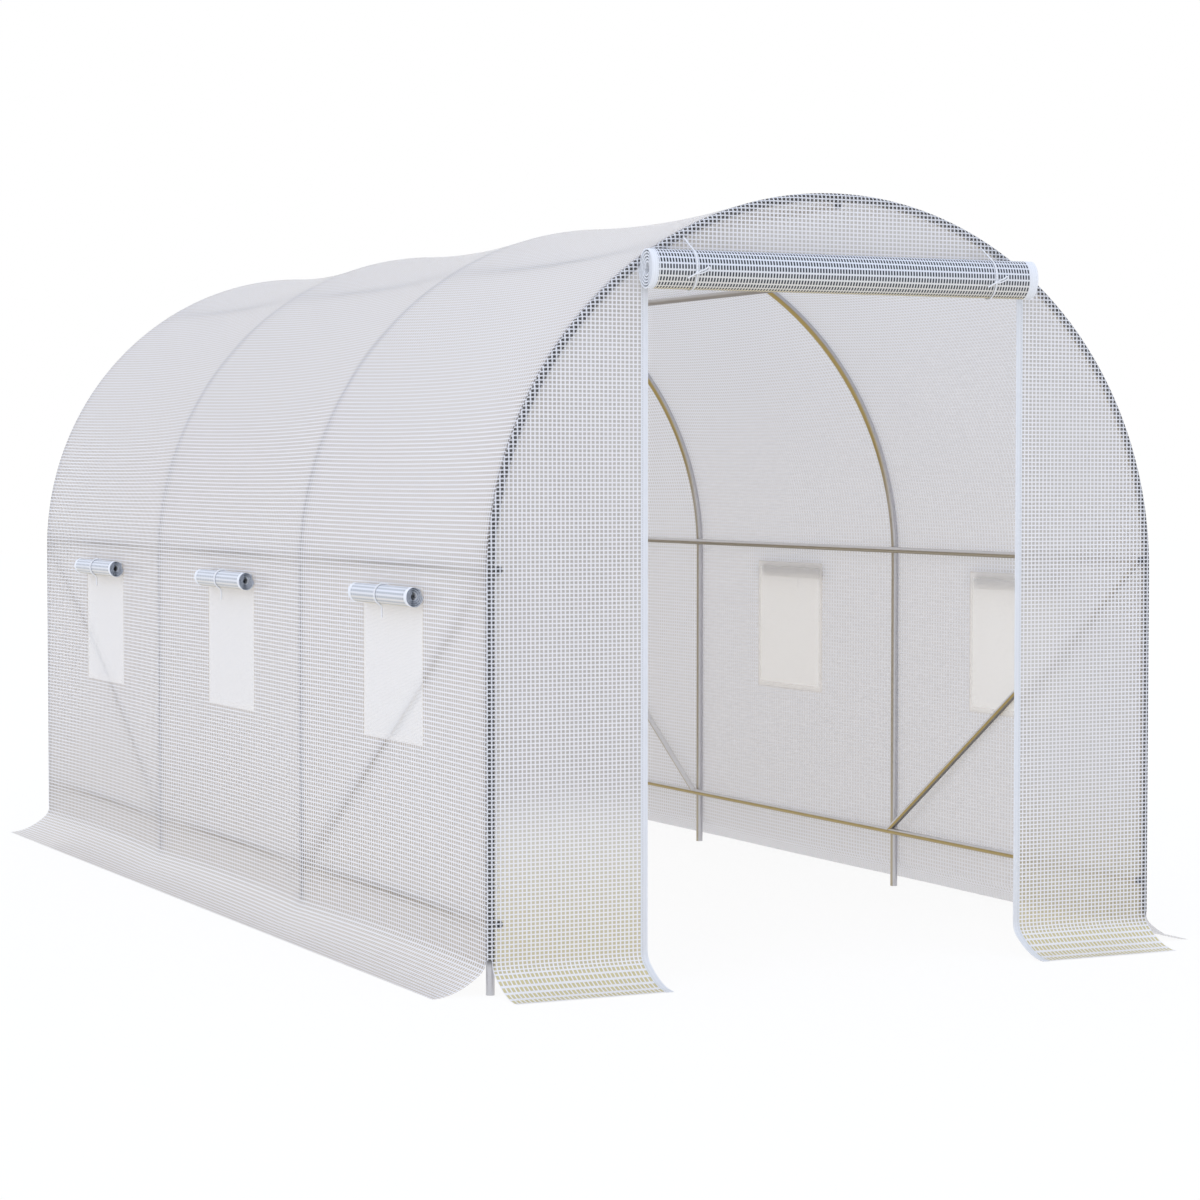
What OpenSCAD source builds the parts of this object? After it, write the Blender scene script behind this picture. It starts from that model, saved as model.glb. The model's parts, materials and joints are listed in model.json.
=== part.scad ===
// Walk-in polytunnel greenhouse: a frame of hooped tubes under a reinforced sheet cover,
// with a rolled-up door at the front and rolled-up flaps over meshed windows along both sides.
// Millimetres. X runs across, Y along the tunnel with the doorway at -Y, Z up from the ground.

/* [Frame] */
// Width over the hoops
frame_w = 2000; // [1600:10:2400]
// Distance from hoop to hoop
bay_len = 1328; // [1000:1:1600]
// Height of the line where the arches spring from the legs
spring_h = 1035; // [900:5:1300]
// Outside diameter of the hoop tube
hoop_od = 22; // [19:0.5:32]
// Outside diameter of the rails, purlins and braces
rail_od = 19; // [14:0.5:25]
// Wall of every tube
tube_wall = 1; // [0.8:0.1:1.5]
// Length of the narrowed tube ends that plug into the next tube of a hoop
spigot_len = 60; // [30:5:100]
// Height of the base rails above the ground
base_rail_h = 177; // [140:1:300]
// Height of the mid rails above the spring line
mid_rail_rise = 29; // [0:1:100]
// Angle of the upper purlins from the top of the arch
purlin_angle = 31; // [20:1:45]

/* [Cover] */
// Thickness of the sheet, its hems and seams included
sheet_t = 2; // [2:0.1:4]
// Gap left between the sagging cover and the rails midway between two hoops
rail_clear = 2.6; // [1:0.1:6]
// Height of the fold where the skirt leaves the upright cover
fold_h = 66; // [50:1:120]
// Reach of the skirts along the sides
side_reach = 145; // [80:1:250]
// Reach of the skirts at both ends
end_reach = 148; // [80:1:250]

/* [Doorway] */
// Clear width of the doorway
door_w = 1112; // [900:2:1180]
// How far the gable over the doorway reaches past each side of it
gable_lap = 34.5; // [20:0.5:60]
// How far the rolled-up door reaches past each side of the doorway
door_lap = 27; // [10:1:60]
// Outside diameter of the rolled-up door
door_roll_d = 100; // [70:1:140]
// Distance from turn to turn in the rolled-up door
door_pitch = 9; // [6:0.5:14]
// Distance between the two door ties
door_tie_span = 894; // [600:2:1000]
// Height of the door ties' fixing above the middle of the roll
door_tie_rise = 70; // [60:1:120]

/* [Windows] */
// Width of each window
window_w = 426; // [300:2:500]
// Height of each window
window_h = 418; // [300:2:480]
// Distance from the spring line down to the windows' upper edge
window_drop = 30; // [20:1:60]
// Outside diameter of the rolled-up window flaps
flap_roll_d = 53; // [35:1:70]
// Length of the rolled-up window flaps
flap_roll_len = 424; // [360:2:500]
// Distance from turn to turn in the rolled-up window flaps
flap_pitch = 5; // [4:0.5:8]
// Height of the window ties' fixing above the middle of the roll
flap_tie_rise = 38; // [32:1:60]

/* [Ties] */
// Width of the tie strings
tie_w = 6; // [3:0.5:10]
// Thickness of the tie strings
tie_t = 3; // [2:0.5:5]

/* [Hidden] */
// Clearance where one piece seats on another
seat_gap = 0.3;
// How far a cutting shape runs past what it cuts
overrun = 5;

// Arches: their centre line, and the line that the rails follow inside them
hoop_r = (frame_w - hoop_od) / 2;
rail_r = hoop_r - (hoop_od + rail_od) / 2 - seat_gap;
hoop_count = 4;
half_len = bay_len * (hoop_count - 1) / 2;
rail_len = 2 * half_len + hoop_od;
hoop_bore = hoop_od - 2 * tube_wall;
spigot_od = hoop_bore - 2 * seat_gap;
spigot_bore = spigot_od - 2 * tube_wall;
shoulder_od = hoop_od - tube_wall;

// Cover: its inner face at a hoop, its sag, and the flat ends
cover_r = hoop_r + hoop_od / 2 + seat_gap;
sag = hoop_od + 2 * seat_gap - rail_clear;
end_y = half_len + hoop_od / 2 + seat_gap;
end_r = hoop_r - seat_gap;
sag_steps = 10;
wrap_steps = 6;
skirt_steps = 6;
arch_faces = 240;
tube_faces = 48;

// Windows and the flap rolls over them
window_top = spring_h - window_drop;
flap_roll_z = window_top - 0.4 * flap_roll_d;
flap_share = flap_roll_len / bay_len;
flap_roll_x = cover_r + sheet_t - sag * (1 - flap_share * flap_share) + flap_roll_d / 2 + seat_gap;
flap_tie_back = flap_roll_x - (cover_r + sheet_t - sag) - seat_gap;

// Doorway: its head is where the arch is as wide as the gable, and the rolled-up door hangs there
door_h = spring_h + sqrt(pow(end_r, 2) - pow(door_w / 2 + gable_lap, 2));
door_roll_len = door_w + 2 * door_lap;
door_roll_y = end_y + sheet_t + seat_gap + door_roll_d / 2;
door_tie_back = door_roll_d / 2;

// Rolls: the open middle, the length of sheet that stands up behind, and the ties' last angle
roll_eye_share = 0.2;
tail_share = 0.6;
roll_step = 15;
tie_end_angle = -140;

steel = "silver";
film = "whitesmoke";
mesh = "white";
string = "ivory";

function hoop_y(i) = i * bay_len - half_len;

// Angle that a length takes up along the arch
function arc_angle(length) = length / hoop_r * 180 / PI;

// Inward sag at a distance u from a bay's middle, a parabola that is zero at both hoops
function sag_at(u) = sag * (1 - pow(2 * u / bay_len, 2));

// Plan of the cover's face over one bay, from hoop to hoop, as [out from the axis, along the bay]
function bay_face(out) = [
    for (i = [0 : sag_steps])
        let (u = (i / sag_steps - 1 / 2) * bay_len) [out - sag_at(u), u]
];

// The same face carried round the end hoop's tube to the flat end
function end_wrap(r) = [
    for (i = [0 : wrap_steps - 1])
        let (a = 90 * i / wrap_steps) [hoop_r + r * sin(a), -bay_len / 2 - r * cos(a)]
];

function reversed(points) = [for (i = [len(points) - 1 : -1 : 0]) points[i]];

function bay_outline(at_end) =
    let (inner = bay_face(cover_r), outer = bay_face(cover_r + sheet_t))
    let (tube = cover_r - hoop_r)
    at_end
        ? concat(end_wrap(tube), inner, reversed(outer), reversed(end_wrap(tube + sheet_t)))
        : concat(inner, reversed(outer));

// Skirt's section as [out, up]: t runs from the fold to the edge, upper is 1 on its upper face
function skirt_point(t, reach, upper) = [
    reach * t + upper * sheet_t * (1 - t),
    fold_h * pow(1 - t, 2) + upper * sheet_t * t
];

function skirt_section(reach) = concat(
    [for (i = [0 : skirt_steps]) skirt_point(i / skirt_steps, reach, 0)],
    [for (i = [skirt_steps : -1 : 0]) skirt_point(i / skirt_steps, reach, 1)]
);

// Rolled-up sheet seen from its end: its tail stands up behind the roll, on the side of -X
function roll_spiral(d, pitch, inset) =
    let (turns = (1 - roll_eye_share) * d / 2 / pitch)
    [
        for (a = [0 : roll_step : 360 * turns])
            let (r = d / 2 - inset - pitch * a / 360) [-r * cos(a), -r * sin(a)]
    ];

function roll_outline(d, pitch) = concat(
    [[-d / 2, tail_share * d]],
    roll_spiral(d, pitch, 0),
    reversed(roll_spiral(d, pitch, sheet_t)),
    [[sheet_t - d / 2, tail_share * d]]
);

// Tie seen from the roll's end: from its fixing behind, over the roll's front and under it
function tie_line(d, back, rise, out) =
    let (r = d / 2 + seat_gap + out)
    let (lean = atan2(rise + out, back), reach = norm([back, rise + out]))
    let (start = 180 - lean - acos(r / reach))
    concat(
        [[-back, rise + out]],
        [for (a = [start : -roll_step / 2 : tie_end_angle]) r * [cos(a), sin(a)]],
        [r * [cos(tie_end_angle), sin(tie_end_angle)]]
    );

function tie_outline(d, back, rise) =
    concat(tie_line(d, back, rise, tie_t), reversed(tie_line(d, back, rise, 0)));

// Frame

module tube(od, length) {
    difference() {
        cylinder(d = od, h = length, $fn = tube_faces);
        translate([0, 0, -overrun])
            cylinder(d = od - 2 * tube_wall, h = length + 2 * overrun, $fn = tube_faces);
    }
}

module tube_ring(od, bore) {
    difference() {
        circle(d = od, $fn = tube_faces);
        circle(d = bore, $fn = tube_faces);
    }
}

module leg() {
    translate([hoop_r, 0, 0])
        tube(hoop_od, spring_h - seat_gap);
}

// Tube bent along the arch between two angles, counted from the right-hand leg
module bend(od, bore, from, to) {
    translate([0, 0, spring_h])
        rotate([90, 0, 0])
            rotate([0, 0, from])
                rotate_extrude(angle = to - from, $fn = arch_faces)
                    translate([hoop_r, 0])
                        tube_ring(od, bore);
}

// Narrowed end that plugs down into a leg, with the shoulder that joins it to the arch
module leg_spigot() {
    translate([hoop_r, 0, spring_h - spigot_len])
        difference() {
            union() {
                cylinder(d = spigot_od, h = spigot_len, $fn = tube_faces);
                translate([0, 0, spigot_len])
                    cylinder(d = shoulder_od, h = tube_wall, $fn = tube_faces);
            }
            translate([0, 0, -overrun])
                cylinder(d = spigot_bore, h = spigot_len + 2 * overrun, $fn = tube_faces);
        }
}

// The same at the ridge, where one half of the arch plugs into the other
module ridge_spigot() {
    shoulder = arc_angle(tube_wall);
    bend(spigot_od, spigot_bore, 90 - shoulder, 90 + arc_angle(spigot_len));
    bend(shoulder_od, spigot_bore, 90 - shoulder, 90);
}

module hoop(i) {
    color(steel)
        translate([0, hoop_y(i), 0]) {
            leg();
            left() leg();
            union() {
                bend(hoop_od, hoop_bore, 0, 90);
                leg_spigot();
                ridge_spigot();
            }
            union() {
                bend(hoop_od, hoop_bore, 90 + arc_angle(seat_gap), 180);
                left() leg_spigot();
            }
        }
}

// Centre of a rail or purlin at a height, on the inner side of the hoops
function rail_x(h) = h > spring_h ? sqrt(pow(rail_r, 2) - pow(h - spring_h, 2)) : rail_r;

module rail(x, z) {
    color(steel)
        translate([x, rail_len / 2, z])
            rotate([90, 0, 0])
                tube(rail_od, rail_len);
}

module purlin(angle) {
    rail(rail_r * sin(angle), spring_h + rail_r * cos(angle));
}

mid_rail_h = spring_h + mid_rail_rise;

module mid_rail() {
    rail(rail_x(mid_rail_h), mid_rail_h);
}

module base_rail() {
    rail(rail_r, base_rail_h);
}

module rail_cut(z) {
    translate([rail_r, rail_len / 2, z])
        rotate([90, 0, 0])
            cylinder(d = rail_od + 2 * seat_gap, h = rail_len, $fn = tube_faces);
}

// Slopes from the mid rail at the end hoop down to the base rail at the next one
module brace() {
    drop = mid_rail_h - base_rail_h;
    color(steel)
        difference() {
            translate([rail_r, -half_len, mid_rail_h])
                rotate([-90 - atan2(drop, bay_len), 0, 0])
                    tube(rail_od, norm([drop, bay_len]));
            rail_cut(mid_rail_h);
            rail_cut(base_rail_h);
        }
}

// Cover

module bay_plan(at_end) {
    polygon(bay_outline(at_end));
}

module roof(at_end) {
    color(film)
        translate([0, at_end ? -bay_len : 0, spring_h])
            rotate([90, 0, 0])
                rotate_extrude(angle = 180, $fn = arch_faces)
                    mirror([0, 1])
                        bay_plan(at_end);
}

module upright(at_end) {
    translate([0, at_end ? -bay_len : 0, fold_h])
        linear_extrude(spring_h - fold_h)
            bay_plan(at_end);
}

module window_block(bay, shrink) {
    depth = hoop_od + sag + sheet_t + overrun;
    translate([cover_r - sag - overrun, bay * bay_len - window_w / 2 + shrink, window_top - window_h + shrink])
        cube([depth, window_w - 2 * shrink, window_h - 2 * shrink]);
}

module wall(at_end) {
    color(film)
        difference() {
            upright(at_end);
            window_block(at_end ? -1 : 0, 0);
        }
}

// Flat end seen from the front, between the fold and the arch
module end_outline() {
    intersection() {
        translate([-end_r, fold_h])
            square([2 * end_r, spring_h + end_r - fold_h]);
        union() {
            translate([-end_r, fold_h])
                square([2 * end_r, spring_h - fold_h]);
            translate([0, spring_h])
                circle(r = end_r, $fn = arch_faces);
        }
    }
}

module end_sheet() {
    translate([0, -end_y, 0])
        rotate([90, 0, 0])
            linear_extrude(sheet_t)
                children();
}

module side_panel() {
    color(film)
        end_sheet()
            intersection() {
                end_outline();
                translate([door_w / 2, fold_h])
                    square([end_r, door_h - fold_h]);
            }
}

module gable() {
    color(film)
        end_sheet()
            intersection() {
                end_outline();
                translate([-end_r, door_h])
                    square([2 * end_r, end_r]);
            }
}

module closed_end() {
    color(film)
        end_sheet()
            end_outline();
}

// Skirts

module end_skirt(x, width) {
    color(film)
        translate([x, -end_y, 0])
            rotate([90, 0, 90])
                linear_extrude(width)
                    mirror([1, 0])
                        polygon(skirt_section(end_reach));
}

// Blends the sagging foot of the wall into a straight edge on the ground
module side_skirt() {
    stations = (hoop_count - 1) * sag_steps;
    ring = 2 * (skirt_steps + 1);
    function along(i) = i * bay_len / sag_steps - half_len;
    function dip(i) = sag_at((i % sag_steps) * bay_len / sag_steps - bay_len / 2);
    points = [
        for (i = [0 : stations])
            for (k = [0 : ring - 1])
                let (t = (k <= skirt_steps ? k : ring - 1 - k) / skirt_steps)
                let (p = skirt_section(side_reach)[k])
                [cover_r - dip(i) * (1 - t) + p[0], along(i), p[1]]
    ];
    sides = [
        for (i = [0 : stations - 1])
            for (k = [0 : ring - 1])
                let (a = i * ring + k, b = i * ring + (k + 1) % ring)
                each [[a, a + ring, b], [b, a + ring, b + ring]]
    ];
    front = [for (k = [0 : ring - 1]) k];
    back = [for (k = [ring - 1 : -1 : 0]) stations * ring + k];
    color(film)
        polyhedron(points, concat(sides, [front, back]));
}

// Windows and rolls

module screens() {
    color(mesh)
        for (bay = [-1 : 1])
            intersection() {
                mirror([0, bay > 0 ? 1 : 0, 0]) upright(bay != 0);
                window_block(bay, seat_gap);
            }
}

module flap_rolls() {
    color(film)
        for (bay = [-1 : 1])
            translate([flap_roll_x, bay * bay_len + flap_roll_len / 2, flap_roll_z])
                rotate([90, 0, 0])
                    linear_extrude(flap_roll_len)
                        polygon(roll_outline(flap_roll_d, flap_pitch));
}

module flap_ties() {
    color(string)
        for (bay = [-1 : 1])
            translate([flap_roll_x, bay * bay_len + tie_w / 2, flap_roll_z])
                rotate([90, 0, 0])
                    linear_extrude(tie_w)
                        polygon(tie_outline(flap_roll_d, flap_tie_back, flap_tie_rise));
}

module at_door_roll() {
    translate([0, -door_roll_y, door_h])
        rotate([90, 0, -90])
            children();
}

module rolled_door() {
    color(film)
        at_door_roll()
            translate([0, 0, -door_roll_len / 2])
                linear_extrude(door_roll_len)
                    polygon(roll_outline(door_roll_d, door_pitch));
}

module door_tie_pair() {
    color(string)
        at_door_roll()
            for (side = [-1, 1])
                translate([0, 0, (side * door_tie_span - tie_w) / 2])
                    linear_extrude(tie_w)
                        polygon(tie_outline(door_roll_d, door_tie_back, door_tie_rise));
}

module left() {
    mirror([1, 0, 0]) children();
}

module back() {
    mirror([0, 1, 0]) children();
}

hoop(0);  // front_hoop
hoop(1);  // second_hoop
hoop(2);  // third_hoop
hoop(3);  // back_hoop
purlin(0);  // ridge_purlin
purlin(-purlin_angle);  // left_upper_purlin
purlin(purlin_angle);  // right_upper_purlin
left() mid_rail();  // left_mid_rail
mid_rail();  // right_mid_rail
left() base_rail();  // left_base_rail
base_rail();  // right_base_rail
left() brace();  // left_front_brace
left() back() brace();  // left_back_brace
brace();  // right_front_brace
back() brace();  // right_back_brace
roof(true);  // front_roof
roof(false);  // middle_roof
back() roof(true);  // back_roof
left() wall(true);  // left_front_wall
left() wall(false);  // left_middle_wall
left() back() wall(true);  // left_back_wall
wall(true);  // right_front_wall
wall(false);  // right_middle_wall
back() wall(true);  // right_back_wall
left() side_panel();  // front_left_panel
side_panel();  // front_right_panel
gable();  // front_gable
back() closed_end();  // back_panel
left() side_skirt();  // left_skirt
side_skirt();  // right_skirt
left() end_skirt(door_w / 2, end_r - door_w / 2);  // front_left_skirt
end_skirt(door_w / 2, end_r - door_w / 2);  // front_right_skirt
back() end_skirt(-end_r, 2 * end_r);  // back_skirt
left() screens();  // left_window_screens
screens();  // right_window_screens
left() flap_rolls();  // left_window_rolls
flap_rolls();  // right_window_rolls
left() flap_ties();  // left_window_ties
flap_ties();  // right_window_ties
rolled_door();  // door_roll
door_tie_pair();  // door_ties
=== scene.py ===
"""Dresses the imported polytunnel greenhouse: reinforced sheet over the tubes, meshed windows,
rolled-up flaps and door with their ties, and a plain studio stage. Metres, in the frame's own axes:
X across, Y along the tunnel with the doorway at -Y, Z up from the ground."""

import json
import math

import bmesh
import bpy
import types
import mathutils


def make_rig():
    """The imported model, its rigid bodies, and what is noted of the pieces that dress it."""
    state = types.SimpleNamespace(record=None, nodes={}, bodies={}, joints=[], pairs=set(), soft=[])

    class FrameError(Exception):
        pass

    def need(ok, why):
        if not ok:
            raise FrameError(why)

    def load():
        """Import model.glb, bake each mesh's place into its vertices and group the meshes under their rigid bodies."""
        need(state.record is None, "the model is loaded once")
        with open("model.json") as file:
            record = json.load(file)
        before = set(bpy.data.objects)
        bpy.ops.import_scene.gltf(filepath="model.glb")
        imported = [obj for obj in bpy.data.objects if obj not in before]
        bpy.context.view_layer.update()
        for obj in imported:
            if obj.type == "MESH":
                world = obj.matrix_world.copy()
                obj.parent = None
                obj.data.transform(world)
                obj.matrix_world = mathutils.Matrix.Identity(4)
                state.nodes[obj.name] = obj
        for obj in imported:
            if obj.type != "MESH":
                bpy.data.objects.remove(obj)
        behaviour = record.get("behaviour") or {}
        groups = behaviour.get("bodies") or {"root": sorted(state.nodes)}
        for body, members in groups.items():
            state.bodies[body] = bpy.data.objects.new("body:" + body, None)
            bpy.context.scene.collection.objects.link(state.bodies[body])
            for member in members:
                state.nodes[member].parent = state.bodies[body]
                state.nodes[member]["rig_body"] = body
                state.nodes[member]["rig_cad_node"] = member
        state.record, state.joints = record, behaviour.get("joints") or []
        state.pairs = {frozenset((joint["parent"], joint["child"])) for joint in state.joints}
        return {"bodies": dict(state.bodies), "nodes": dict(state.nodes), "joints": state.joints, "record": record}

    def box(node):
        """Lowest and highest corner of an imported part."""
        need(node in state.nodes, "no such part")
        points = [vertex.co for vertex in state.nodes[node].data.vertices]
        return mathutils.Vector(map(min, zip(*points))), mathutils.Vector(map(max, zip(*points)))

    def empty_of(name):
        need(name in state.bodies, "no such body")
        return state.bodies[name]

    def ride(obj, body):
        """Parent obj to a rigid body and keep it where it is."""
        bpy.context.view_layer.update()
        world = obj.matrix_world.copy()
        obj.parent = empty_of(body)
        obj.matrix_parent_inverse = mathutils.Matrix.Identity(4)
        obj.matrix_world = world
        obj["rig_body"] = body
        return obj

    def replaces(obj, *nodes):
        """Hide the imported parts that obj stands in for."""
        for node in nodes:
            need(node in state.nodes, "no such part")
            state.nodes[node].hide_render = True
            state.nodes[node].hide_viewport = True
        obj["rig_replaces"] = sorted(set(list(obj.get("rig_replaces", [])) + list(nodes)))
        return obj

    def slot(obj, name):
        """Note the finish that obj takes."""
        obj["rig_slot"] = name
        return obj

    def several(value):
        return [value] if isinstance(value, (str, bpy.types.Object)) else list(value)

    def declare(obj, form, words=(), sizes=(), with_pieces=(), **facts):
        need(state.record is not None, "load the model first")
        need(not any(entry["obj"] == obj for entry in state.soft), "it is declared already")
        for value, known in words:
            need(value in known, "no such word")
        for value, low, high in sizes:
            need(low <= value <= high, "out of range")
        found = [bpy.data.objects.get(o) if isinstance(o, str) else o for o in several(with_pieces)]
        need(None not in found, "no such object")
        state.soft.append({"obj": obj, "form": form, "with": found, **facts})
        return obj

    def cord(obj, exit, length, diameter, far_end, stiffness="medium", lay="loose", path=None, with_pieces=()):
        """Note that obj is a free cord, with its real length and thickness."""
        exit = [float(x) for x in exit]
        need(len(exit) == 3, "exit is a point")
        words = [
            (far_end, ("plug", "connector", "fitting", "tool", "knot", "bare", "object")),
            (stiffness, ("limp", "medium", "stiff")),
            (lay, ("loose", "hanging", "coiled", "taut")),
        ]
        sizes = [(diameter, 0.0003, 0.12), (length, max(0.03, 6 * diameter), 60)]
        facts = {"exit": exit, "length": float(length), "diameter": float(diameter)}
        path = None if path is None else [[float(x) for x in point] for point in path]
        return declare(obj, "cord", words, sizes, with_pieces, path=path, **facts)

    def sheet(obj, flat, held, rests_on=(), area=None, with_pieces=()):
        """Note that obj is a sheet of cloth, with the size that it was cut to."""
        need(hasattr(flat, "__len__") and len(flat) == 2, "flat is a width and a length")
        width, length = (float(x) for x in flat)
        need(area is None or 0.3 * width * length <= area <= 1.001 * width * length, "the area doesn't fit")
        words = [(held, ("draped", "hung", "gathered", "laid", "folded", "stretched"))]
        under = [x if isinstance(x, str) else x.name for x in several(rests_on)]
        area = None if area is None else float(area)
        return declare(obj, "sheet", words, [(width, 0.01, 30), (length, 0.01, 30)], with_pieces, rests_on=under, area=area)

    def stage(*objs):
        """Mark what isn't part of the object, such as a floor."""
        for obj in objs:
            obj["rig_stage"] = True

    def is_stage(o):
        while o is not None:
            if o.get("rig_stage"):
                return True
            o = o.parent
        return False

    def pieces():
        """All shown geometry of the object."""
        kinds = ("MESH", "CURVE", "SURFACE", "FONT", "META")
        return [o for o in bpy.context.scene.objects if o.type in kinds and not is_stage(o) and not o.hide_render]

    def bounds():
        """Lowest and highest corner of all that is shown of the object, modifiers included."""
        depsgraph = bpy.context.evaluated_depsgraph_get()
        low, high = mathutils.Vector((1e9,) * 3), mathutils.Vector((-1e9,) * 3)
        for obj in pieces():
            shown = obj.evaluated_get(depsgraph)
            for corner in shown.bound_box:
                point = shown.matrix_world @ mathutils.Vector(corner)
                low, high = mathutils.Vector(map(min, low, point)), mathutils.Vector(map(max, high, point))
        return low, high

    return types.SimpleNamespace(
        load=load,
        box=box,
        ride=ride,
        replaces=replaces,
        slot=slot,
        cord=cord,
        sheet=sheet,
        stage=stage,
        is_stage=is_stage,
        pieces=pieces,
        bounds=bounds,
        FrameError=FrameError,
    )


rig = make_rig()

bl_info = {
    "name": "Polytunnel greenhouse",
    "version": (1, 0, 0),
    "blender": (4, 5, 0),
    "location": "View3D > Sidebar > Polytunnel",
    "description": "Builds the sheets, rolls, ties and stage of a walk-in polytunnel around its frame",
    "category": "Object",
}

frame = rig.load()
CAD_BOX = [list(corner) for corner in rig.bounds()]
SIZE_FILE = "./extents.json"
BODY = "root"


def middle(node):
    """Middle of a node's box at rest."""
    low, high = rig.box(node)
    return (low + high) / 2


# Main measures, read from the frame so that the dress follows it
HOOPS = ("front_hoop", "second_hoop", "third_hoop", "back_hoop")
PURLINS = ("ridge_purlin", "left_upper_purlin", "right_upper_purlin")
MID_RAILS = ("left_mid_rail", "right_mid_rail")
BASE_RAILS = ("left_base_rail", "right_base_rail")
BRACES = ("left_front_brace", "left_back_brace", "right_front_brace", "right_back_brace")
ROOFS = ("front_roof", "middle_roof", "back_roof")
SIDES = ((-1, "left"), (1, "right"))
BAYS = ((-1, "front"), (0, "middle"), (1, "back"))
WALLS = (
    "left_front_wall", "left_middle_wall", "left_back_wall",
    "right_front_wall", "right_middle_wall", "right_back_wall",
)
ARCH_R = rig.box("front_hoop")[1].x
HOOP_Y = [middle(node).y for node in HOOPS]
HALF_LEN = HOOP_Y[-1]
BAY_LEN = HOOP_Y[1] - HOOP_Y[0]
HOOP_R = ARCH_R - (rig.box("front_hoop")[1].y - HOOP_Y[0])
SPRING_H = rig.box("front_roof")[0].z
SKIRT_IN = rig.box("right_skirt")[0].x
FOLD_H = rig.box("right_skirt")[1].z
SIDE_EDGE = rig.box("right_skirt")[1].x
END_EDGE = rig.box("back_skirt")[1].y
END_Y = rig.box("back_panel")[0].y
END_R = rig.box("back_panel")[1].x
DOOR_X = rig.box("front_right_panel")[0].x
DOOR_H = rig.box("front_gable")[0].z
WINDOW_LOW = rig.box("right_window_screens")[0].z
WINDOW_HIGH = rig.box("right_window_screens")[1].z
WINDOW_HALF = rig.box("right_window_screens")[1].y - BAY_LEN
COVER_IN = END_Y - HALF_LEN + HOOP_R
BAY_SAG = COVER_IN - SKIRT_IN
FLAP_LOW, FLAP_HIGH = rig.box("right_window_rolls")
DOOR_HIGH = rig.box("door_roll")[1]
SOLID_TIE_HALF = 0.003
DOOR_TIE_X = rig.box("door_ties")[1].x - SOLID_TIE_HALF
# Clearance with which the solids seat on each other
SEAT = 0.0003
# The strip that holds a roll up reaches this many radii above its middle, in the solids and as dressed
SOLID_TAIL, SEWN_TAIL = 1.2, 0.7
# The rolled flaps sit this much nearer the door end than the middle of their bays
FLAP_FORWARD = 0.01
# How far round an end hoop the main cover runs, from its outer side, and how far back the end sheet
# comes, with the steps that each takes
COVER_TURN, EDGE_TURN = math.radians(28), math.radians(20)
TURN_STEPS, ARCH_STEPS = 7, 96
# How far inside the edge of a hem its stitches run
STITCH_IN = 0.003


# The kinds of node that the finishes use most, with their settings
MATH, MIX, RANGE = "ShaderNodeMath", "ShaderNodeMix", "ShaderNodeMapRange"
COLOURS, SMOOTH = {"data_type": "RGBA"}, {"interpolation_type": "SMOOTHSTEP"}
WHITE = (1, 1, 1, 1)
# How far the woven tapes stand proud of their film
TAPE_RISE = 0.0004


def linear(code):
    """An sRGB hex colour as linear RGBA."""
    levels = [int(code[i : i + 2], 16) / 255 for i in (1, 3, 5)]
    return [c / 12.92 if c <= 0.04045 else ((c + 0.055) / 1.055) ** 2.4 for c in levels] + [1]


def dimmed(code, share):
    """An sRGB hex colour as linear RGBA, at a share of its light."""
    return [share * c for c in linear(code)[:3]] + [1]


def add(tree, kind, inputs=(), **settings):
    """Adds a node with its settings, and sets its inputs or links them. A node among them is linked by the
    first of its outputs that is in use."""
    node = tree.nodes.new(kind)
    for name, value in settings.items():
        setattr(node, name, value)
    for socket, value in dict(inputs).items():
        if isinstance(value, bpy.types.Node):
            value = next(output for output in value.outputs if output.enabled)
        if isinstance(value, bpy.types.NodeSocket):
            tree.links.new(value, node.inputs[socket])
        else:
            node.inputs[socket].default_value = value
    return node


def new_material(name):
    """A material with an empty node tree, and that tree."""
    material = bpy.data.materials.new(name)
    material.use_nodes = True
    material.node_tree.nodes.clear()
    return material, material.node_tree


def grid_threads(tree, pitches, shares):
    """Mask of a scrim laid out in the sheet's own flat metres: 1 on a thread, 0 in a cell."""
    flat = add(tree, "ShaderNodeUVMap", uv_map="flat")
    axes = add(tree, "ShaderNodeSeparateXYZ", {0: flat})
    # Part of the spacing over which each edge of a thread fades
    soft = 0.06
    lines = []
    for axis, pitch, share in zip("XY", pitches, shares):
        count = add(tree, MATH, {0: axes.outputs[axis], 1: 1 / pitch}, operation="MULTIPLY")
        wave = add(tree, MATH, {0: count, 1: 0.5}, operation="PINGPONG")
        edges = {"Value": wave, "From Min": share / 2 + soft, "From Max": share / 2 - soft}
        lines.append(add(tree, RANGE, edges, **SMOOTH))
    return add(tree, MATH, {0: lines[0], 1: lines[1]}, operation="MAXIMUM")


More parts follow.
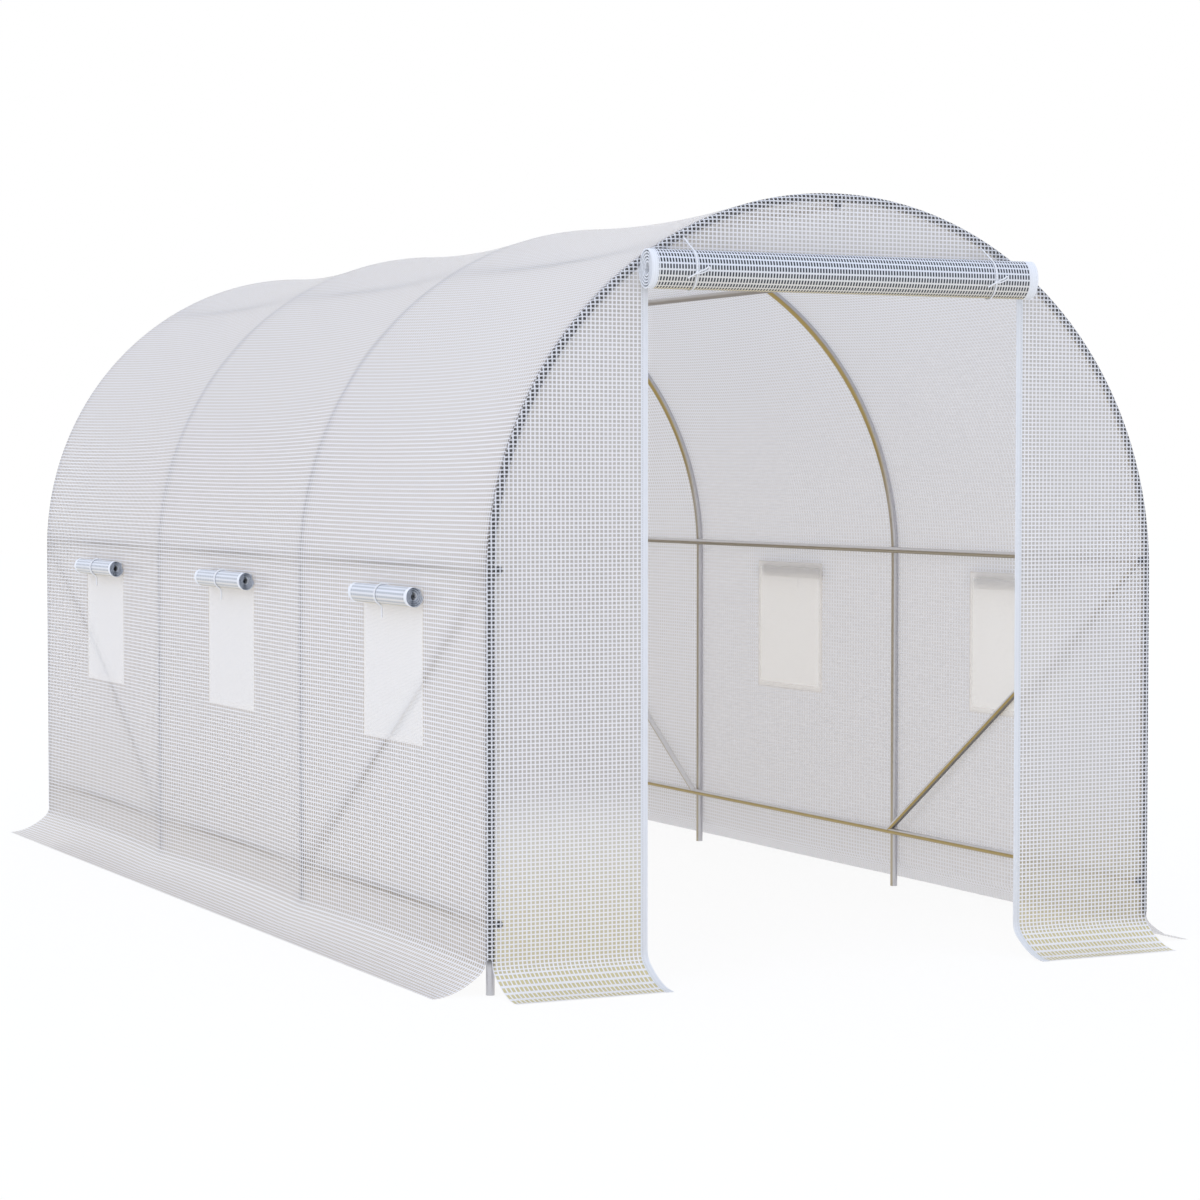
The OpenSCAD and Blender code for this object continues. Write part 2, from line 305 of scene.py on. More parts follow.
def reinforced_film(name, pitches, cover, cell_light, ground_light, ground_light_share):
    """Reinforced polyethylene film: woven tapes laminated between clear films. The tapes give the eye a
    bluish white grid. The cells between them are hazy: what lies close behind shows, what lies far blurs."""
    material, tree = new_material(name)
    threads = grid_threads(tree, pitches, (cover.thread_share, cover.thread_share))
    place = add(tree, "ShaderNodeNewGeometry")
    inside = place.outputs["Backfacing"]
    # From inside, the lamination evens the grid out
    even = add(tree, MIX, {"Factor": threads, "A": cover.inside_low, "B": cover.inside_high})
    grid = add(tree, MIX, {"Factor": inside, "A": threads, "B": even})
    # From outside, warm light from the ground is painted into the cells near it and on the skirt that lies on it
    height = add(tree, "ShaderNodeSeparateXYZ", {0: place.outputs["Position"]}).outputs["Z"]
    reach = {"Value": height, "From Min": cover.ground_light_top, "From Max": 0.0, "To Max": ground_light_share}
    ground_light_mask = add(tree, RANGE, reach, **SMOOTH)
    fold = {"Value": height, "From Min": FOLD_H + cover.fold, "From Max": FOLD_H - cover.fold}
    lying = add(tree, RANGE, fold, **SMOOTH)
    ground_lit = add(tree, MIX, {"Factor": ground_light_mask, "A": linear(cell_light), "B": linear(ground_light)}, **COLOURS)
    tinted = add(tree, MIX, {"Factor": inside, "A": ground_lit, "B": linear(cover.cell_glow)}, **COLOURS)
    skirt_ground_lit = add(tree, MIX, {"Factor": lying, "A": linear(cover.cell), "B": linear(ground_light)}, **COLOURS)
    cell = add(tree, MIX, {"Factor": inside, "A": skirt_ground_lit, "B": linear(cover.cell)}, **COLOURS)
    skirt_clear = add(tree, MIX, {"Factor": inside, "A": cover.skirt_clear, "B": cover.cell_clear})
    cell_clear = add(tree, MIX, {"Factor": lying, "A": cover.cell_clear, "B": skirt_clear})
    through = add(tree, MIX, {"Factor": grid, "A": tinted, "B": linear(cover.thread_light)}, **COLOURS)
    colour = add(tree, MIX, {"Factor": grid, "A": cell, "B": linear(cover.thread)}, **COLOURS)
    clear = add(tree, MIX, {"Factor": grid, "A": cell_clear, "B": cover.thread_clear})
    relief = add(tree, "ShaderNodeBump", {"Height": threads, "Strength": 0.2, "Distance": TAPE_RISE})
    solid = add(
        tree,
        "ShaderNodeBsdfPrincipled",
        {"Base Color": colour, "Roughness": 0.5, "Specular IOR Level": 0.2, "Normal": relief},
    )
    lit = add(tree, "ShaderNodeBsdfTranslucent", {"Color": through})
    haze = add(tree, "ShaderNodeBsdfRefraction", {"Color": through, "Roughness": 0.5, "IOR": 1.1})
    outside = add(tree, MATH, {0: 1.0, 1: inside}, operation="SUBTRACT")
    cells = add(tree, MATH, {0: outside, 1: threads}, operation="SUBTRACT", use_clamp=True)
    # At a slant there is more haze in the way
    facing = add(tree, "ShaderNodeLayerWeight", {"Blend": 0.5}).outputs["Facing"]
    straight = add(tree, MATH, {0: 1.0, 1: facing}, operation="SUBTRACT")
    sight = add(tree, MATH, {0: straight, 1: 2.0}, operation="POWER")
    shown = add(tree, MATH, {0: sight, 1: cover.haze}, operation="MULTIPLY")
    hazy = add(tree, MATH, {0: cells, 1: shown}, operation="MULTIPLY")
    passed = add(tree, "ShaderNodeMixShader", {0: hazy, 1: lit, 2: haze})
    body = add(tree, "ShaderNodeMixShader", {0: clear, 1: solid, 2: passed})
    # The smooth face shines a little straight on, and more at a slant
    edge = add(tree, MATH, {0: facing, 1: 5.0}, operation="POWER")
    shine = add(tree, MIX, {"Factor": edge, "A": 0.03, "B": 0.2})
    gloss = add(tree, "ShaderNodeBsdfGlossy", {"Color": WHITE, "Roughness": 0.2})
    film = add(tree, "ShaderNodeMixShader", {0: shine, 1: body, 2: gloss})
    add(tree, "ShaderNodeOutputMaterial", {"Surface": film})
    return material


def rolled_film(name, pitches, shares, thread, thread_below, cell, ground_bounce):
    """The same reinforced film rolled up many layers thick: its cells are painted dark for the shade in the roll,
    so the white tapes stand out; the wound surface keeps the film's soft shine. Painted ground light warms it below."""
    material, tree = new_material(name)
    threads = grid_threads(tree, pitches, shares)
    normal = add(tree, "ShaderNodeNewGeometry").outputs["Normal"]
    rise = add(tree, "ShaderNodeSeparateXYZ", {0: normal}).outputs["Z"]
    # Painted warm light from the ground: the tapes turn warmer round the lower half, and warmer still at the very
    # bottom
    below = add(tree, RANGE, {"Value": rise, "From Min": 0.3, "From Max": -0.6}, **SMOOTH)
    bottom = add(tree, RANGE, {"Value": rise, "From Min": -0.78, "From Max": -1.0}, **SMOOTH)
    warmer = add(tree, MIX, {"Factor": below, "A": linear(thread), "B": linear(thread_below)}, **COLOURS)
    tape = add(tree, MIX, {"Factor": bottom, "A": warmer, "B": linear(ground_bounce)}, **COLOURS)
    colour = add(tree, MIX, {"Factor": threads, "A": linear(cell), "B": tape}, **COLOURS)
    rough = add(tree, MIX, {"Factor": threads, "A": 0.3, "B": 0.5})
    relief = add(tree, "ShaderNodeBump", {"Height": threads, "Strength": 0.25, "Distance": TAPE_RISE})
    shader = add(
        tree,
        "ShaderNodeBsdfPrincipled",
        {"Base Color": colour, "Roughness": rough, "Normal": relief, "IOR": 1.5},
    )
    add(tree, "ShaderNodeOutputMaterial", {"Surface": shader})
    return material


def insect_mesh(name, colour, glow, pitch, hole_share):
    """Knitted polyethylene insect mesh: fine white monofilament, and cream where light comes through it.
    Real holes are under a millimetre; they are drawn coarser so that they show."""
    material, tree = new_material(name)
    thread_share = 1 - math.sqrt(hole_share)
    threads = grid_threads(tree, (pitch, pitch), (thread_share, thread_share))
    yarn = add(tree, "ShaderNodeBsdfPrincipled", {"Base Color": linear(colour), "Roughness": 0.6})
    lit = add(tree, "ShaderNodeBsdfTranslucent", {"Color": linear(glow)})
    light_share = 0.33
    body = add(tree, "ShaderNodeMixShader", {0: light_share, 1: yarn, 2: lit})
    clear = add(tree, "ShaderNodeBsdfTransparent", {"Color": WHITE})
    veil = add(tree, "ShaderNodeMixShader", {0: threads, 1: clear, 2: body})
    add(tree, "ShaderNodeOutputMaterial", {"Surface": veil})
    return material


def binding_tape(name, colour, rib, light_share, stitch_at=None, thin=0.0, end_shade=None):
    """Woven polyester binding tape, sewn on: matt bluish white with ribs along it, thin enough to pass some
    light, and a row of lock stitches along one edge. The ribs are drawn coarser than real, to show."""
    material, tree = new_material(name)
    flat = add(tree, "ShaderNodeUVMap", uv_map="flat")
    ribs = add(
        tree,
        "ShaderNodeTexWave",
        {"Vector": flat, "Scale": 1 / (rib * math.tau), "Distortion": 0.6, "Detail": 1.0},
        bands_direction="X",
    ).outputs["Fac"]
    relief = ribs
    # Painted shade: the tape is darker in the grooves between its ribs
    tint = add(tree, MIX, {"Factor": ribs, "A": dimmed(colour, 0.93), "B": linear(colour)}, **COLOURS)
    if stitch_at:
        # Half the row's width, a stitch with its gap, and half the part of that which the thread takes
        row_half, stitch_len, thread_half = 0.0008, 0.006, 0.36
        axes = add(tree, "ShaderNodeSeparateXYZ", {0: flat})
        side = add(tree, MATH, {0: axes.outputs["X"]}, operation="ABSOLUTE")
        row = add(tree, MATH, {0: side, 1: stitch_at, 2: row_half}, operation="COMPARE")
        count = add(tree, MATH, {0: axes.outputs["Y"], 1: 1 / stitch_len}, operation="MULTIPLY")
        part = add(tree, MATH, {0: count, 1: 0.5}, operation="PINGPONG")
        pull = add(tree, MATH, {0: part, 1: thread_half}, operation="LESS_THAN")
        stitch = add(tree, MATH, {0: row, 1: pull}, operation="MULTIPLY")
        relief = add(tree, MATH, {0: relief, 1: stitch}, operation="ADD")
        tint = add(tree, MIX, {"Factor": stitch, "A": tint, "B": dimmed(colour, 0.72)}, **COLOURS)
    if end_shade:
        # Painted shade: the faces at the ends of a roll along the tunnel, where its cut edges show, are greyer
        normal = add(tree, "ShaderNodeNewGeometry").outputs["Normal"]
        along = add(tree, "ShaderNodeSeparateXYZ", {0: normal}).outputs["Y"]
        faced = add(tree, MATH, {0: along}, operation="ABSOLUTE")
        end_on = add(tree, RANGE, {"Value": faced, "From Min": 0.6, "From Max": 0.9}, **SMOOTH)
        tint = add(tree, MIX, {"Factor": end_on, "A": tint, "B": linear(end_shade)}, **COLOURS)
    bump = add(tree, "ShaderNodeBump", {"Height": relief, "Strength": 0.3, "Distance": 0.0003})
    shader = add(tree, "ShaderNodeBsdfPrincipled", {"Base Color": tint, "Roughness": 0.7, "Normal": bump})
    lit = add(tree, "ShaderNodeBsdfTranslucent", {"Color": linear(colour)})
    tape = add(tree, "ShaderNodeMixShader", {0: light_share, 1: shader, 2: lit})
    if thin:
        # An open weave, which also lets through what lies behind it
        clear = add(tree, "ShaderNodeBsdfTransparent", {"Color": WHITE})
        tape = add(tree, "ShaderNodeMixShader", {0: thin, 1: tape, 2: clear})
    add(tree, "ShaderNodeOutputMaterial", {"Surface": tape})
    return material


def braided_cord(name, colour, plait):
    """Braided polypropylene cord: soft white, with a fine slanting plait."""
    material, tree = new_material(name)
    spot = add(tree, "ShaderNodeTexCoord").outputs["Object"]
    plaits = add(
        tree,
        "ShaderNodeTexWave",
        {"Vector": spot, "Scale": 1 / (plait * math.tau), "Distortion": 1.0},
        bands_direction="DIAGONAL",
    ).outputs["Fac"]
    # Painted shade: the cord is darker in the grooves of its plait
    tint = add(tree, MIX, {"Factor": plaits, "A": dimmed(colour, 0.88), "B": linear(colour)}, **COLOURS)
    bump = add(tree, "ShaderNodeBump", {"Height": plaits, "Strength": 0.4, "Distance": 0.0004})
    shader = add(tree, "ShaderNodeBsdfPrincipled", {"Base Color": tint, "Roughness": 0.65, "Normal": bump})
    add(tree, "ShaderNodeOutputMaterial", {"Surface": shader})
    return material


def galvanised_steel(name, steel, under, under_from, under_to, low, low_from, inner, behind_sheet_tone, spangle):
    """Galvanised steel tube: a grey zinc coat with a faint spangle, satin from drawing. A painted warm
    reflection of the ground browns the under side, and painted shade darkens the end hoops behind the sheet."""
    material, tree = new_material(name)
    place = add(tree, "ShaderNodeNewGeometry")
    grains = add(tree, "ShaderNodeTexVoronoi", {"Vector": place.outputs["Position"], "Scale": 1 / spangle})
    grain = add(tree, "ShaderNodeSeparateColor", {0: grains.outputs["Color"]}).outputs
    facing = add(tree, "ShaderNodeSeparateXYZ", {0: place.outputs["Normal"]}).outputs
    spot = add(tree, "ShaderNodeSeparateXYZ", {0: place.outputs["Position"]}).outputs
    # Painted warm reflection of the ground on the faces that look into the tunnel, and on those that look down
    side = add(tree, MATH, {0: spot["X"], 1: facing["X"]}, operation="MULTIPLY")
    inwards = {"Value": side, "From Min": -0.66 * HOOP_R, "From Max": -0.88 * HOOP_R, "To Max": inner}
    turned_in = add(tree, RANGE, inwards, **SMOOTH)
    down = {"Value": facing["Z"], "From Min": under_from, "From Max": under_to}
    turned_down = add(tree, RANGE, down, **SMOOTH)
    ground_reflected = add(tree, MATH, {0: turned_down, 1: turned_in}, operation="MAXIMUM")
    tone = add(tree, MIX, {"Factor": ground_reflected, "A": linear(steel), "B": linear(under)}, **COLOURS)
    # Painted shade: the lowest faces turn to the low tone
    low_fade = 0.3
    lowest = {"Value": facing["Z"], "From Min": low_from, "From Max": low_from - low_fade}
    bottom = add(tree, RANGE, lowest, **SMOOTH)
    tone = add(tree, MIX, {"Factor": bottom, "A": tone, "B": linear(low)}, **COLOURS)
    # The painted shade starts just past the middle of an end hoop, and above the fold of the skirt
    shade_from, shade_full, fold_fade = 0.001, 0.006, 0.03
    far = add(tree, MATH, {0: spot["Y"]}, operation="ABSOLUTE")
    outer = {"Value": far, "From Min": HALF_LEN + shade_from, "From Max": HALF_LEN + shade_full}
    ends = add(tree, RANGE, outer, **SMOOTH)
    above = {"Value": spot["Z"], "From Min": FOLD_H, "From Max": FOLD_H + fold_fade}
    covered = add(tree, RANGE, above, **SMOOTH)
    behind_sheet_shade = add(tree, MATH, {0: ends, 1: covered}, operation="MULTIPLY")
    tone = add(tree, MIX, {"Factor": behind_sheet_shade, "A": tone, "B": linear(behind_sheet_tone)}, **COLOURS)
    level = add(tree, MIX, {"Factor": grain["Red"], "A": 0.97, "B": 1.0})
    colour = add(tree, MIX, {"Factor": 1.0, "A": tone, "B": level}, blend_type="MULTIPLY", **COLOURS)
    rough = add(tree, MIX, {"Factor": grain["Green"], "A": 0.3, "B": 0.34})
    zinc = {"Base Color": colour, "Roughness": rough, "Metallic": 0.85}
    shader = add(tree, "ShaderNodeBsdfPrincipled", zinc)
    add(tree, "ShaderNodeOutputMaterial", {"Surface": shader})
    return material


def pale_floor(name, colour, glow_share):
    """Plain pale studio floor: white to the eye, but warm to the light that it sends up. The part of it that
    doesn't glow takes a faint shadow."""
    material, tree = new_material(name)
    ground = add(tree, "ShaderNodeBsdfDiffuse", {"Color": linear(colour)})
    paper = add(tree, "ShaderNodeBsdfDiffuse", {"Color": WHITE})
    white = add(tree, "ShaderNodeEmission", {"Color": WHITE, "Strength": 1.0})
    seen = add(tree, "ShaderNodeMixShader", {0: glow_share, 1: paper, 2: white})
    floor = add(tree, "ShaderNodeMixShader", {0: shown_white(tree), 1: ground, 2: seen})
    add(tree, "ShaderNodeOutputMaterial", {"Surface": floor})
    return material


def shown_white(tree):
    """1 for rays from the camera, off a gloss or through glass, which all see a white background."""
    path = add(tree, "ShaderNodeLightPath").outputs
    through = {0: path["Is Transmission Ray"], 1: path["Is Diffuse Ray"]}
    glass = add(tree, MATH, through, operation="SUBTRACT", use_clamp=True)
    shiny = add(tree, MATH, {0: path["Is Glossy Ray"], 1: glass}, operation="MAXIMUM")
    return add(tree, MATH, {0: path["Is Camera Ray"], 1: shiny}, operation="MAXIMUM")


def link_piece(obj, material, slot):
    """Puts a finished piece in the scene, on the frame's body."""
    bpy.context.scene.collection.objects.link(obj)
    obj.data.materials.append(material)
    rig.ride(obj, BODY)
    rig.slot(obj, slot)
    return obj


def mesh_piece(name, points, faces, flats, material, slot, closed=False):
    """A mesh piece with its flat pattern, in metres, as its map."""
    mesh = bpy.data.meshes.new(name)
    mesh.from_pydata(points, [], faces)
    pattern = mesh.uv_layers.new(name="flat")
    for loop in mesh.loops:
        pattern.data[loop.index].uv = flats[loop.vertex_index]
    if closed:
        shell = bmesh.new()
        shell.from_mesh(mesh)
        bmesh.ops.recalc_face_normals(shell, faces=shell.faces)
        shell.to_mesh(mesh)
        shell.free()
    mesh.polygons.foreach_set("use_smooth", [True] * len(mesh.polygons))
    mesh.set_sharp_from_angle(angle=math.radians(40))
    mesh.update()
    return link_piece(bpy.data.objects.new(name, mesh), material, slot)


def sheet_grid(name, across, along, place, material, slot, keep=None, flip=False):
    """A sheet on a grid of stations: place(a, b) gives a point and its place on the flat pattern."""
    spots = {}
    points, flats, faces = [], [], []
    for a in range(len(across) - 1):
        for b in range(len(along) - 1):
            if keep and not keep(a, b):
                continue
            corners = []
            for i, j in ((a, b), (a + 1, b), (a + 1, b + 1), (a, b + 1)):
                if (i, j) not in spots:
                    point, flat = place(across[i], along[j])
                    spots[i, j] = len(points)
                    points.append(point)
                    flats.append(flat)
                corners.append(spots[i, j])
            faces.append(corners[::-1] if flip else corners)
    return mesh_piece(name, points, faces, flats, material, slot)


def steps(start, end, count):
    """Stations from start to end, both among them, a number of equal steps apart."""
    return [start + (end - start) * i / count for i in range(count + 1)]


def chain(*runs):
    """Runs of stations joined end to end."""
    out = list(runs[0])
    for run in runs[1:]:
        out += run[1:]
    return out


def sag_at(y):
    """How far the cover sinks in between two hoops."""
    share = (y + HALF_LEN) / BAY_LEN % 1.0
    return BAY_SAG * (1 - (2 * share - 1) ** 2)


def skirt_section(reach, fold):
    """Section of a skirt from above its fold to its edge, as [out, up, run]: the sheet rounds the fold
    and then settles on the ground in a widening curve."""
    bend, rest = 6, 18

    def settle(t):
        return reach * t, FOLD_H * (1 - t) ** 2

    first = fold / math.hypot(reach, 2 * FOLD_H)
    low = settle(first)
    line = []
    for i in range(bend):
        t = i / bend
        up = (FOLD_H + fold) * (1 - t) ** 2 + 2 * FOLD_H * t * (1 - t) + low[1] * t**2
        line.append((low[0] * t**2, up))
    line += [settle(t) for t in steps(first, 1, rest)]
    runs = [0.0]
    for p, q in zip(line, line[1:]):
        runs.append(runs[-1] + math.dist(p, q))
    return [(out, up, run) for (out, up), run in zip(line, runs)]


class TunnelCoverSettings(bpy.types.PropertyGroup):
    """The sheet that covers the tunnel."""

    lift: bpy.props.FloatProperty(
        name="Film lift", description="Gap from the tubes to the film", default=0.0006, unit="LENGTH"
    )
    fold: bpy.props.FloatProperty(
        name="Fold",
        description="How far above and below the skirt's fold it is rounded",
        default=0.022,
        unit="LENGTH",
    )
    girth_pitch: bpy.props.FloatProperty(
        name="Girth pitch", description="Thread spacing round the tunnel", default=0.0117, unit="LENGTH"
    )
    # Real threads along the tunnel are about 12 mm apart; they are drawn coarser so that they show
    long_pitch: bpy.props.FloatProperty(
        name="Long pitch", description="Thread spacing along the tunnel", default=0.016, unit="LENGTH"
    )
    across_pitch: bpy.props.FloatProperty(
        name="Across pitch",
        description="Thread spacing across the ends",
        default=0.01192,
        unit="LENGTH",
    )
    up_pitch: bpy.props.FloatProperty(
        name="Up pitch", description="Thread spacing up the ends", default=0.0107, unit="LENGTH"
    )
    skirt_rows: bpy.props.IntProperty(
        name="Skirt rows",
        description="Rows of long cells from the fold of an end skirt to its edge",
        default=6,
    )
    thread_share: bpy.props.FloatProperty(
        name="Thread share",
        description="Part of the spacing that a thread takes",
        default=0.34,
        subtype="FACTOR",
    )
    thread: bpy.props.StringProperty(
        name="Thread", description="Colour of the tapes", default="#f6f7fb"
    )
    thread_light: bpy.props.StringProperty(
        name="Thread light", description="Colour of light through the tapes", default="#fbf5ee"
    )
    cell: bpy.props.StringProperty(
        name="Cell", description="Colour of the cells' own surface", default="#b4b1ad"
    )
    cell_light: bpy.props.StringProperty(
        name="Cell light",
        description="Colour of light through the cells of the sides",
        default="#e9e3db",
    )
    end_cell_light: bpy.props.StringProperty(
        name="End cell light",
        description="Colour of light through the cells of the ends",
        default="#dfddd8",
    )
    cell_glow: bpy.props.StringProperty(
        name="Cell glow",
        description="Colour of light through the cells, from inside",
        default="#dfd9d1",
    )
    # Painted warm light from the ground in the cells near it, for the ends and for the sides
    end_ground_light: bpy.props.StringProperty(
        name="End ground light", description="Colour of the ground in the cells of the ends", default="#d3c898"
    )
    side_ground_light: bpy.props.StringProperty(
        name="Side ground light",
        description="Colour of the ground in the cells of the sides",
        default="#cfc4b2",
    )
    # Height up to which the painted warm ground light reaches
    ground_light_top: bpy.props.FloatProperty(
        name="Ground light top", description="Height that the painted ground light reaches", default=0.55, unit="LENGTH"
    )
    cell_clear: bpy.props.FloatProperty(
        name="Cell clearness",
        description="Part of the light that passes the cells",
        default=0.93,
        subtype="FACTOR",
    )
    skirt_clear: bpy.props.FloatProperty(
        name="Skirt clearness",
        description="The same where the skirt lies on the ground",
        default=0.2,
        subtype="FACTOR",
    )
    thread_clear: bpy.props.FloatProperty(
        name="Thread clearness",
        description="Part of the light that passes the tapes",
        default=0.27,
        subtype="FACTOR",
    )
    haze: bpy.props.FloatProperty(
        name="Haze",
        description="Part of the passing light that still shows what lies behind",
        default=0.85,
        subtype="FACTOR",
    )
    inside_low: bpy.props.FloatProperty(
        name="Inside cell",
        description="Where the cells stand from inside",
        default=0.04,
        subtype="FACTOR",
    )
    inside_high: bpy.props.FloatProperty(
        name="Inside thread",
        description="Where the tapes stand from inside",
        default=0.88,
        subtype="FACTOR",
    )


class TunnelRollSettings(bpy.types.PropertyGroup):
    """The rolled-up door and window flaps, their hems and ties."""

    film: bpy.props.FloatProperty(
        name="Film", description="Thickness of the rolled film", default=0.0008, unit="LENGTH"
    )
    door_hem: bpy.props.FloatProperty(
        name="Door hem", description="Thickness of the door's sewn hems", default=0.0032, unit="LENGTH"
    )
    flap_hem: bpy.props.FloatProperty(
        name="Flap hem", description="Thickness of a flap's sewn hems", default=0.0018, unit="LENGTH"
    )
    hem_w: bpy.props.FloatProperty(
        name="Hem width", description="Width of the hems", default=0.019, unit="LENGTH"
    )
    door_r: bpy.props.FloatProperty(
        name="Door roll", description="Outer radius of the rolled door", default=0.0545, unit="LENGTH"
    )
    flap_r: bpy.props.FloatProperty(
        name="Flap roll", description="Outer radius of a rolled flap", default=0.0285, unit="LENGTH"
    )
    flap_flat: bpy.props.FloatProperty(
        name="Flap flatness",
        description="Depth of a rolled flap over its height",
        default=0.88,
        subtype="FACTOR",
    )
    door_flat: bpy.props.FloatProperty(
        name="Door flatness",
        description="Depth of the rolled door over its height",
        default=0.76,
        subtype="FACTOR",
    )
    door_skew: bpy.props.FloatProperty(
        name="Door skew",
        description="How far the right end of the rolled door is drawn in",
        default=0.02,
        unit="LENGTH",
    )
    door_turn: bpy.props.FloatProperty(
        name="Door turn",
        description="Distance from turn to turn in the door",
        default=0.0078,
        unit="LENGTH",
    )
    flap_turn: bpy.props.FloatProperty(
        name="Flap turn",
        description="Distance from turn to turn in a flap",
        default=0.005,
        unit="LENGTH",
    )
    cord: bpy.props.FloatProperty(
        name="Door cord", description="Diameter of the door's ties", default=0.004, unit="LENGTH"
    )
    flap_cord: bpy.props.FloatProperty(
        name="Flap cord", description="Diameter of the flaps' ties", default=0.0055, unit="LENGTH"
    )
    thread: bpy.props.StringProperty(
        name="Thread", description="Colour of the tapes", default="#dfe2e8"
    )
    # Painted warm light from the ground, on a roll's lower side and more at its very bottom
    thread_below: bpy.props.StringProperty(
        name="Thread below", description="Colour of the tapes on a roll's lower side", default="#dfdcd5"
    )
    ground_bounce: bpy.props.StringProperty(
        name="Ground bounce", description="Colour of the dust under the rolls", default="#e2d5b0"
    )
    # Painted shade inside a roll, seen through its cells
    door_cell: bpy.props.StringProperty(
        name="Door cell", description="Colour of the door's cells", default="#2a2f39"
    )
    flap_cell: bpy.props.StringProperty(
        name="Flap cell", description="Colour of the flaps' cells", default="#a3a7ae"
    )
    tape: bpy.props.StringProperty(name="Tape", description="Colour of the binding", default="#fafcff")
    string: bpy.props.StringProperty(name="String", description="Colour of the ties", default="#f1f2f4")


class TunnelStageSettings(bpy.types.PropertyGroup):
    """The studio round the tunnel."""

    eye: bpy.props.FloatVectorProperty(
        name="Eye",
        description="Where the camera stands",
        default=(-4.0814, -9.0355, 1.3035),
        unit="LENGTH",
    )
    turn: bpy.props.FloatProperty(
        name="Turn",
        description="How far the camera turns from straight ahead",
        default=0.449397,
        unit="ROTATION",
    )
    tilt: bpy.props.FloatProperty(
        name="Tilt",
        description="How far the camera looks up",
        default=math.radians(-2.3408),
        unit="ROTATION",
    )
    lens: bpy.props.FloatProperty(name="Lens", description="Focal length in millimetres", default=92.72)
    sky: bpy.props.StringProperty(
        name="Sky", description="Colour of the light from above", default="#e0eaff"
    )
    horizon: bpy.props.StringProperty(
        name="Horizon", description="Colour of the light from the sides", default="#eff4ff"
    )
    sky_level: bpy.props.FloatProperty(
        name="Sky level", description="Strength of the surrounding light", default=1.13
    )
    key_level: bpy.props.FloatProperty(
        name="Key level", description="Strength of the main lamp", default=0.4
    )
    floor: bpy.props.StringProperty(name="Floor", description="Colour of the floor", default="#f7f1e6")


class TUNNEL_OT_stage(bpy.types.Operator):
    """Set up the camera, the light and the floor"""

    bl_idname = "tunnel.stage"
    bl_label = "Stage"

    def execute(self, context):
        scene, stage = context.scene, context.scene.tunnel_stage
        scene.view_settings.view_transform = "Standard"
        camera = bpy.data.objects.new("camera", bpy.data.cameras.new("camera"))
        camera.data.lens, camera.data.sensor_width = stage.lens, 36
        camera.location = stage.eye
        camera.rotation_euler = (math.pi / 2 + stage.tilt, 0, -stage.turn)
        scene.collection.objects.link(camera)
        scene.camera = camera
        key = bpy.data.objects.new("key", bpy.data.lights.new("key", "SUN"))
        key.data.energy, key.data.angle = stage.key_level, math.radians(60)
        # A broad lamp from above on the left
        key.rotation_euler = (math.radians(48), 0, math.radians(-62))
        scene.collection.objects.link(key)
        self.light_world(scene, stage)
        # The floor runs far past the view, a hair below the feet
        reach, below = 40, 0.001
        mesh = bpy.data.meshes.new("floor")
        corners = [(x * reach, y * reach, 0) for x, y in ((-1, -1), (1, -1), (1, 1), (-1, 1))]
        mesh.from_pydata(corners, [], [(0, 1, 2, 3)])
        floor = bpy.data.objects.new("floor", mesh)
        floor.location.z = -below
        mesh.materials.append(pale_floor("pale studio floor", stage.floor, glow_share=0.9))
        scene.collection.objects.link(floor)
        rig.stage(floor)
        return {"FINISHED"}

    def light_world(self, scene, stage):
        """Soft light from the sky and the sides, before a white background."""
        world = bpy.data.worlds.new("soft studio")
        world.use_nodes = True
        tree = world.node_tree
        tree.nodes.clear()
        scene.world = world
        axes = add(tree, "ShaderNodeSeparateXYZ", {0: add(tree, "ShaderNodeTexCoord").outputs["Generated"]})
        rise = add(tree, RANGE, {"Value": axes.outputs["Z"]}, **SMOOTH)
        tint = add(tree, MIX, {"Factor": rise, "A": linear(stage.horizon), "B": linear(stage.sky)}, **COLOURS)
        light = add(tree, "ShaderNodeBackground", {"Color": tint, "Strength": stage.sky_level})
        white = add(tree, "ShaderNodeBackground", {"Color": WHITE, "Strength": 1.0})
        mix = add(tree, "ShaderNodeMixShader", {0: shown_white(tree), 1: light, 2: white})
        add(tree, "ShaderNodeOutputWorld", {"Surface": mix})


class TUNNEL_OT_tubes(bpy.types.Operator):
    """Finish the hoops, rails and braces in galvanised steel"""

    bl_idname = "tunnel.tubes"
    bl_label = "Tubes"

    def execute(self, context):
        # Painted warm reflection of the ground, and painted shade on the end hoops behind the sheet
        ground_bounce, behind_sheet_shade, spangle = "#a8935c", "#2b2d33", 0.004
        # For each kind of tube: its steel, the painted ground reflection below and the slopes where it starts and
        # ends, the painted shade at the bottom and where it starts, and the reflection's share on the inward faces
        finishes = (
            ("hoops", HOOPS, "#c6c6ca", ground_bounce, 0.0, -0.35, ground_bounce, -0.55, 0.6),
            ("purlins", PURLINS, "#cfcac4", "#a8a096", 0.2, -0.35, "#8f877d", -0.6, 0.0),
            ("mid rails", MID_RAILS, "#e2e0df", "#9c917d", 0.3, -0.05, "#85785c", -0.6, 0.0),
            ("base rails", BASE_RAILS, "#e6e5e5", ground_bounce, 0.45, 0.15, "#8f7f55", -0.65, 0.0),
            ("braces", BRACES, "#e6e5e5", ground_bounce, 0.08, -0.15, "#7d7975", -0.42, 0.0),
        )
        for name, nodes, *tones in finishes:
            steel = galvanised_steel(f"galvanised steel tube, {name}", *tones, behind_sheet_shade, spangle)
            for node in nodes:
                tube = frame["nodes"][node]
                tube.data.materials.clear()
                tube.data.materials.append(steel)
        return {"FINISHED"}


